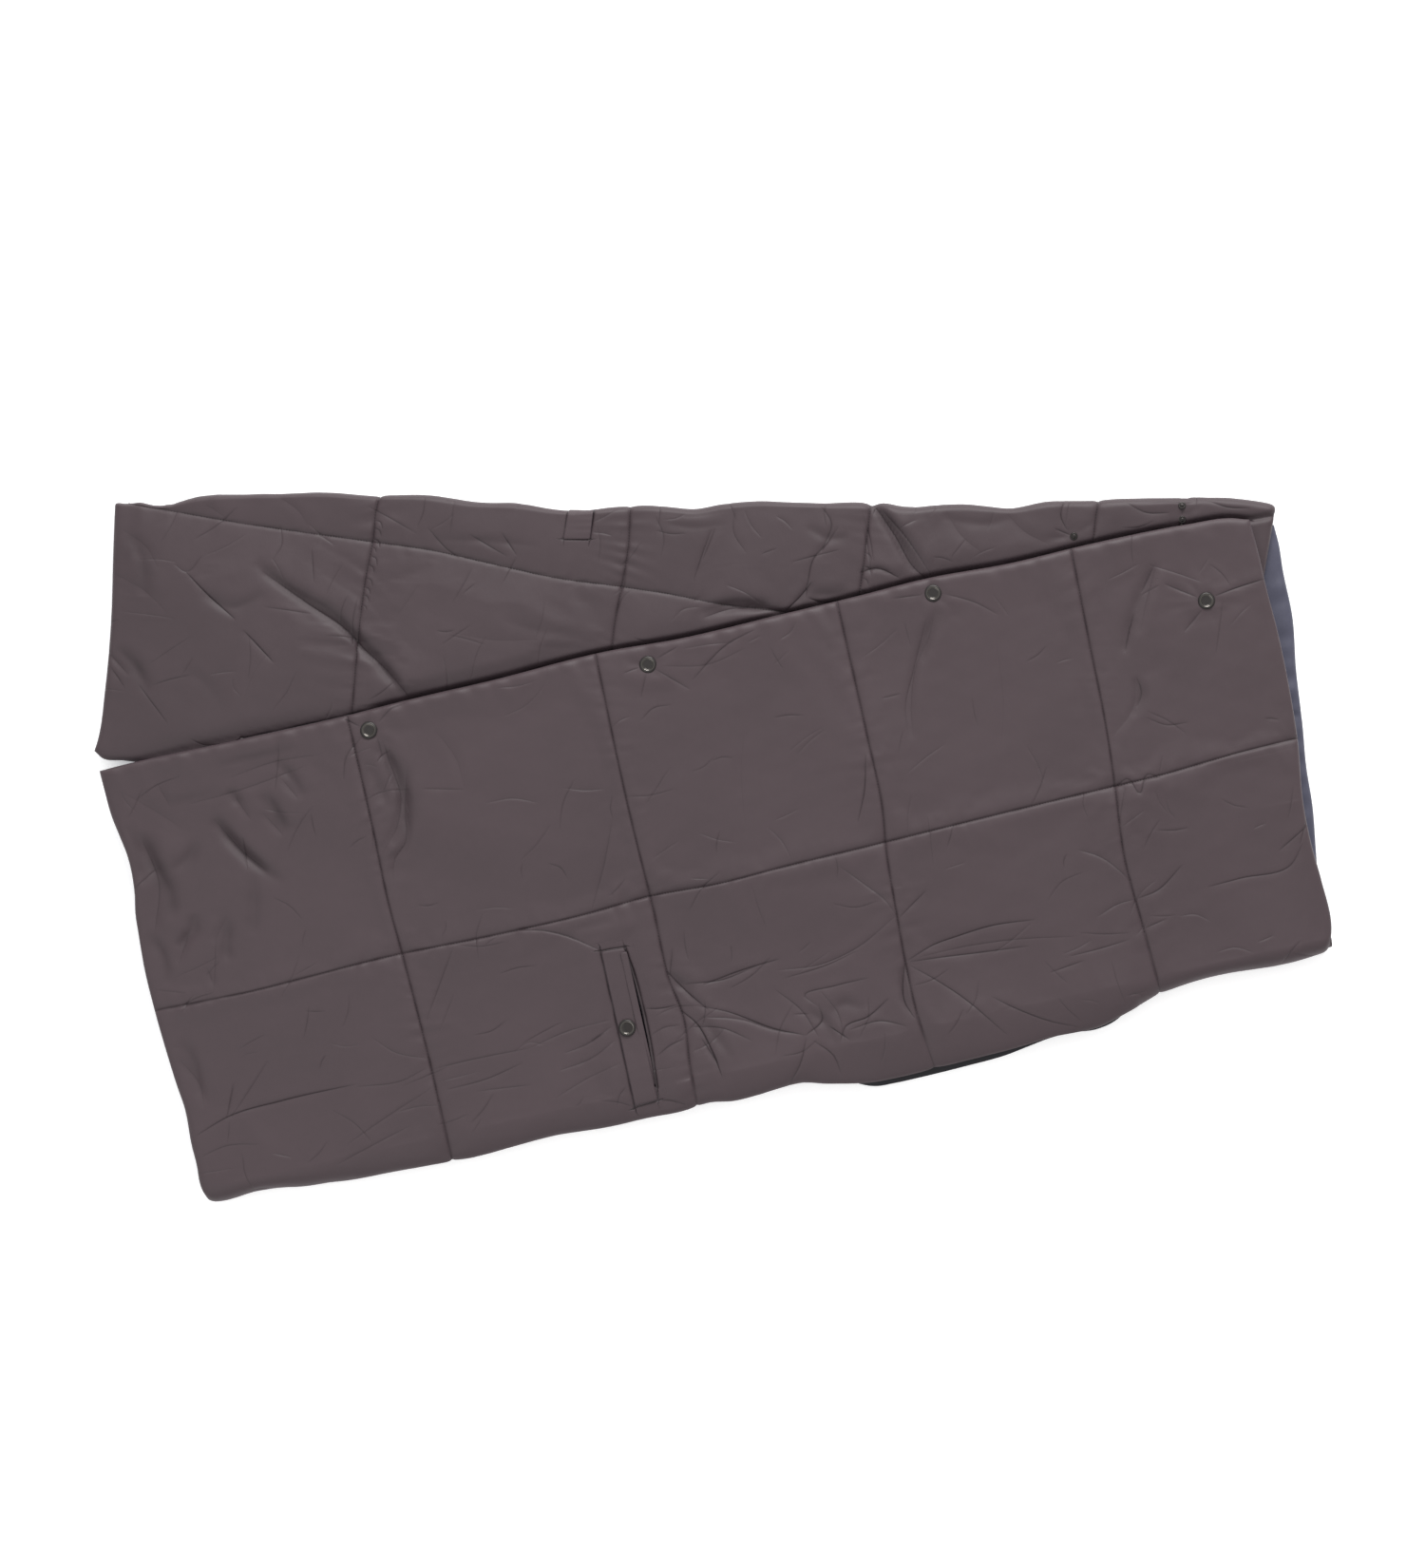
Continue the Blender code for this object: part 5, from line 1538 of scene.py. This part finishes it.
# CAD nodes whose shape is kept, with new materials.
kept_finish = {
    stud_metal: ["front_arm_slot_stud", "front_arm_slot_snap_socket"]
    + [f"front_snap_socket_{k}" for k in range(1, 5)]
    + [f"inner_snap_stud_{k}" for k in range(1, 4)]
    + [f"inner_stud_post_{k}" for k in range(1, 7)],
    plastic: ["power_inlet_housing"],
    jacket: ["power_inlet_lead"],
    brass: [f"power_inlet_pin_{k}" for k in range(1, 4)] + [f"power_inlet_rivet_{k}" for k in range(1, 5)],
}
for finish, names in kept_finish.items():
    for name in names:
        for material_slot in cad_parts[name].material_slots:
            material_slot.material = finish

front_lines = [
    [(x, y) for y, x in points if 0.0 <= y <= 0.65] + [(points[-1][1], 0.664)] for points in FRONT_COLUMNS
]
front_lines.append([(x, y) for x, y in FRONT_ROW if 0.0 < x < 1.77])
for side, surface, lines in (("front", front_surface, front_lines), ("inner", inner_surface, INNER_SEAMS)):
    dress(stitches(f"{side}_flap_stitches", surface, lines, thread), "shell_fabric", f"{side}_flap")

# ------------------------------------------------------------------------------- floor, light, camera

bpy.ops.mesh.primitive_plane_add(size=40, location=(0, 0, -0.0005))
floor = bpy.context.object
floor.name = "floor"
floor_paint, floor_tree, floor_shader = new_material("floor_paper")
feed(floor_tree, floor_shader, {
    "Base Color": (0.96, 0.96, 0.96, 1), "Emission Color": (1, 1, 1, 1), "Emission Strength": 0.30,
    "Roughness": 0.9,
})
floor.data.materials.append(floor_paint)

scene = bpy.context.scene
# Place, size and power of each light.
LIGHTS = {
    "key_light": ((2.0, 4.5, 3.25), (3.4, 1.86), 396),
    "fill_light": ((-2.2, -1.8, 3.6), (3.0, 3.0), 42),
}
for name, (place, size, power) in LIGHTS.items():
    light = bpy.data.lights.new(name, "AREA")
    light.shape = "RECTANGLE"
    light.size, light.size_y = size
    light.energy = power
    lamp = bpy.data.objects.new(name, light)
    scene.collection.objects.link(lamp)
    lamp.location = place
    lamp.rotation_euler = (Vector(place) * -1).to_track_quat("-Z", "Y").to_euler()
world = bpy.data.worlds.new("studio")
world.use_nodes = True
feed(world.node_tree, world.node_tree.nodes["Background"], {"Color": (1, 1, 1, 1), "Strength": 0.80})
scene.world = world
scene.view_settings.view_transform = "Standard"

# The photograph's camera looks straight down. VIEW_HEIGHT is how much it sees, in metres.
VIEW_HEIGHT = 2.366
DISTANCE = 5.0
SENSOR = 36
camera_data = bpy.data.cameras.new("camera")
camera = bpy.data.objects.new("camera", camera_data)
scene.collection.objects.link(camera)
camera_data.sensor_fit = "VERTICAL"
camera_data.sensor_height = SENSOR
camera_data.lens = SENSOR * DISTANCE / VIEW_HEIGHT
camera.location = (-0.0101, -0.0767, DISTANCE + 0.04)
camera.rotation_euler = (0, 0, -TURN)
scene.camera = camera
